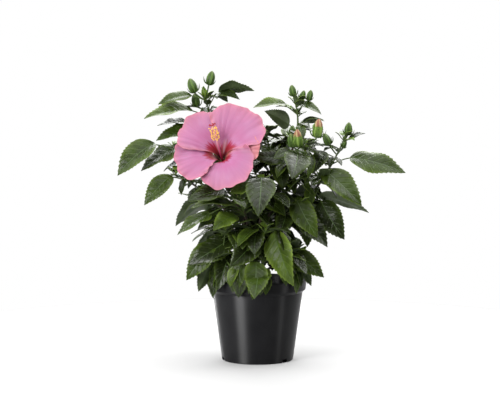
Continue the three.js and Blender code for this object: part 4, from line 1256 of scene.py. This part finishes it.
def add_sepal(angle, height, wide, spread, rise):
    """A pointed lobe that leans out from the cup."""
    out = spoke(math.radians(angle), BLOOM_RIGHT, BLOOM_UP)
    around = np.cross(BLOOM_AXIS, out)
    thick = unit(out - BLOOM_AXIS * 0.6) * 0.35
    rings = []
    for s in np.linspace(0, 1, 8):
        centre = BLOOM_AT + BLOOM_AXIS * (height + rise * s) + out * (spread[0] + spread[1] * s)
        half = wide * (1 - s) ** 0.7 * (1 + 0.3 * math.sin(math.pi * s)) + 0.1
        left, right = (centre + around * half * turn - out * 0.12 * half for turn in (-1, 1))
        upper, lower = ([place + thick * turn for place in (left, centre, right)] for turn in (1, -1))
        rings.append(upper + lower[::-1])
    calyx.add(np.array(rings))


for k in range(5):
    add_sepal(72 * k + 10, -0.5, 3.9, (6.3, 5.2), 11)
for k in range(7):
    add_sepal(360 / 7 * k, -11, 0.9, (2.6, 9), 4)
stalk_start = bough_curve(BLOOM_STALK["from"]).point(BLOOM_STALK["at"])
stalk_goal = BLOOM_AT - BLOOM_AXIS * 10
stalk = Curve(stalk_start, stalk_goal - BLOOM_AXIS * 14, stalk_goal)
calyx.add(tube_rings(line_of(stalk, 24), np.linspace(*BLOOM_STALK["radii"], 24), 12))
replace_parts(calyx.build(slot="calyx", sharp=60), "bloom_stalk")

# ---- pot and soil ---------------------------------------------------------------------------------------

# fine turned lines draw the gloss out upwards
POT_BLACK = Finish("pot_black_plastic", "#0a0a0b", 0.4, Specular_IOR_Level=0.12, Anisotropic=0.9,
                   Anisotropic_Rotation=0.25)
round_the_pot = POT_BLACK.node("ShaderNodeTangent", direction_type="RADIAL", axis="Z").outputs["Tangent"]
POT_BLACK.links.new(round_the_pot, POT_BLACK.shader.inputs["Tangent"])
moulding = POT_BLACK.math("MULTIPLY_ADD", POT_BLACK.grain(30, 2.0), 1.5, POT_BLACK.grain(0.7, 4.0))
POT_BLACK.relief(moulding, 0.06, 0.6)
POT_BLACK.paint(POT_BLACK.colours(POT_BLACK.grain(22, 5.0), [(0.3, "#080809"), (0.7, "#0d0d0e")]))
PEAT = plain_finish("peat", "#1c130c", "#3a2a1c", 0.95, 2.5, 1.2)


def wall_radius(z):
    return mix(POT["foot"], POT["wall_top"], z / (POT["height"] - POT["band"]))


def spun_profile(name, profile, sides):
    """A closed turned piece: a disc, extruded and scaled up its profile of radius and height."""
    (radius, height), *rest = profile
    deselect_all()
    bpy.ops.mesh.primitive_circle_add(vertices=sides, radius=radius * MM, fill_type="NGON")
    piece = bpy.context.object
    piece.name = name
    bpy.ops.object.mode_set(mode="EDIT")
    bpy.ops.mesh.select_all(action="SELECT")
    bpy.ops.transform.translate(value=(0, 0, height * MM))
    for r, z in rest:
        bpy.ops.mesh.extrude_region_move(TRANSFORM_OT_translate={"value": (0, 0, (z - height) * MM)})
        bpy.ops.transform.resize(value=(r / radius, r / radius, 1), center_override=(0, 0, z * MM))
        radius, height = r, z
    bpy.ops.mesh.select_all(action="SELECT")
    bpy.ops.mesh.normals_make_consistent(inside=False)
    bpy.ops.object.mode_set(mode="OBJECT")
    return piece


foot, top, rim, rim_foot = POT["foot"], POT["height"], POT["rim"], POT["rim"] - POT["draft"]
ledge, shoulder = top - POT["band"], top - POT["band"] + POT["step"]
rim_inside, wall_inside = rim - POT["rim_wall"], wall_radius(ledge) - POT["wall"]
pot = spun_profile("plant_pot", [
    (foot - 3, 0.9), (foot - 2.2, 0), (foot - 0.7, 0), (wall_radius(0.8), 0.8),           # rounded foot
    (wall_radius(ledge - 0.8), ledge - 0.8), (wall_radius(ledge) + 0.5, ledge - 0.2),     # up the wall
    (rim_foot - 0.7, shoulder - 0.7), (rim_foot, shoulder), (rim - 0.25, top - 2.4),      # the rim band
    (rim, top - 1.4), (rim - 0.35, top - 0.4), (rim - 1.1, top),                          # its rounded edge
    (rim_inside + 0.5, top - 0.1), (rim_inside, top - 0.8), (wall_inside + 1.5, shoulder),    # its inside
    (wall_inside, ledge), (wall_radius(POT["floor"]) - POT["wall"], POT["floor"]), (4, POT["floor"]),
], POT["sides"])
for turn_of_notch in NOTCH["turns"]:
    deselect_all()
    bpy.ops.mesh.primitive_cube_add(size=1)
    cutter = bpy.context.object
    cutter.scale = (NOTCH["deep"] * MM, NOTCH["wide"] * MM, NOTCH["tall"] * 2 * MM)
    cutter.location = direction(turn_of_notch, 0) * POT["foot"] * MM
    cutter.rotation_euler = (0, 0, math.radians(turn_of_notch))
    bpy.ops.object.transform_apply(location=True, rotation=True, scale=True)
    apply_modifier(cutter, "BEVEL", width=NOTCH["edge"] * MM, segments=3)
    apply_modifier(pot, "BOOLEAN", operation="DIFFERENCE", object=cutter, solver="EXACT")
    bpy.data.objects.remove(cutter)
pot.data.materials.append(POT_BLACK.material)
settle(pot, "pot", 30)
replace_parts(pot, "pot")

# the peat: a rough dome with crumbs on it
PEAT_DOME = {"hollow": 0.6, "rings": 40, "sides": 90, "swell": 0.6, "hills": (0.12, 1.6), "lumps": (0.5, 1.1)}
CRUMBS = {"count": 420, "size": (0.5, 1.9), "up": (-0.8, -0.4, 0.2, 0.75), "wide": (0.3, 0.9, 0.85, 0.3),
          "dent": 0.18, "off_trunk": 9}
soil_radius = wall_radius(SOIL_TOP) - POT["wall"] - PEAT_DOME["hollow"]
soil = spun_profile("potting_soil", [
    (soil_radius - 3, SOIL_TOP - 12), (soil_radius - 1, SOIL_TOP - 2),
    *((r, SOIL_TOP - 0.4) for r in np.linspace(soil_radius - 0.6, 0.4, PEAT_DOME["rings"])),
], PEAT_DOME["sides"])
for vertex in soil.data.vertices:
    x, y, z = vertex.co / MM
    if z > SOIL_TOP - 1:
        rough = PEAT_DOME["swell"] * math.cos(math.hypot(x, y) / soil_radius * math.pi / 2)
        for layer, (fineness, height) in enumerate((PEAT_DOME["hills"], PEAT_DOME["lumps"])):
            rough += noise.noise(Vector((x, y, 3 * layer)) * fineness) * height
        vertex.co.z += rough * MM
soil.data.materials.append(PEAT.material)
settle(soil, "peat", 70)
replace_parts(soil, "soil")

crumbs = Sheaf("soil_crumbs", [PEAT])
for _ in range(CRUMBS["count"]):
    radius, angle = soil_radius * math.sqrt(RNG.random()) * 0.97, RNG.uniform(0, 360)
    size = RNG.uniform(*CRUMBS["size"])
    x, y = direction(angle, 0)[:2] * radius
    if math.hypot(x - TRUNK_FOOT[0], y - TRUNK_FOOT[1]) < CRUMBS["off_trunk"]:
        continue
    centre = vec((x, y, SOIL_TOP + 0.3 + size * 0.25))
    lean = unit(RNG.uniform(-1, 1, 3))
    lump = tube_rings([centre + lean * size * h for h in CRUMBS["up"]], size * vec(CRUMBS["wide"]), 6)
    crumbs.add(lump + RNG.uniform(-CRUMBS["dent"], CRUMBS["dent"], lump.shape) * size)
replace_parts(crumbs.build(slot="peat", sharp=70), "soil")

# ---- floor and light ------------------------------------------------------------------------------------

bpy.ops.object.select_all(action="DESELECT")
bpy.ops.mesh.primitive_circle_add(vertices=128, radius=0.62, fill_type="NGON")
floor = bpy.context.object
floor.name = "pale_floor"
floor.data.materials.append(Finish("pale_floor", "#bcbcbc", 0.9, Specular_IOR_Level=0.1).material)

# the room: white behind the plant, dimmer as light and dimmer still in gloss
ROOM_LIGHT, LESS_IN_GLOSS = 0.38, 0.28
world = bpy.data.worlds.new("white_room")
world.use_nodes = True
room = world.node_tree
room.nodes["Background"].inputs["Color"].default_value = (1, 1, 1, 1)
ray = room.nodes.new("ShaderNodeLightPath").outputs
strength, in_gloss = room.nodes.new("ShaderNodeMath"), room.nodes.new("ShaderNodeMath")
strength.operation = in_gloss.operation = "MULTIPLY_ADD"
strength.inputs[1].default_value, strength.inputs[2].default_value = 1 - ROOM_LIGHT, ROOM_LIGHT
in_gloss.inputs[1].default_value = -LESS_IN_GLOSS
room.links.new(ray["Is Camera Ray"], strength.inputs[0])
room.links.new(ray["Is Glossy Ray"], in_gloss.inputs[0])
room.links.new(strength.outputs["Value"], in_gloss.inputs[2])
room.links.new(in_gloss.outputs["Value"], room.nodes["Background"].inputs["Strength"])
bpy.context.scene.world = world


LIGHTS_AIM = 180                 # the height above the floor that every light faces


def soft_light(name, azimuth, elevation, away, size, watts, only_on=None):
    """A rectangular soft box that faces the plant, or a strip that lights one piece only."""
    lamp = bpy.data.lights.new(name, "AREA")
    lamp.shape, lamp.energy = "RECTANGLE", watts
    lamp.size, lamp.size_y = size
    box = bpy.data.objects.new(name, lamp)
    aim = Vector((0, 0, LIGHTS_AIM * MM))
    box.location = aim + Vector(direction(azimuth, elevation)) * away
    box.rotation_euler = (box.location - aim).to_track_quat("Z", "Y").to_euler()
    bpy.context.scene.collection.objects.link(box)
    if only_on:
        box.light_linking.receiver_collection = bpy.data.collections.new(f"lit_by_{name}")
        box.light_linking.receiver_collection.objects.link(only_on)


soft_light("key_left", -130, 20, 1.7, (0.8, 0.9), 25)
soft_light("pot_strip_left", -136, 4, 1.7, (0.68, 0.9), 102, only_on=pot)
soft_light("pot_strip_right", -24, 4, 1.7, (0.26, 0.9), 10, only_on=pot)
soft_light("pot_strip_edge", 122, 4, 1.7, (0.2, 0.9), 8, only_on=pot)
soft_light("fill_right", 15, 42, 1.9, (1.6, 1.0), 24)
soft_light("fill_left", 170, 35, 1.9, (1.6, 1.0), 12)
soft_light("fill_back", 90, 40, 2.0, (2.2, 1.2), 54)
soft_light("top", -85, 82, 2.2, (2.4, 2.4), 50)

bpy.context.scene.view_settings.view_transform = "Standard"
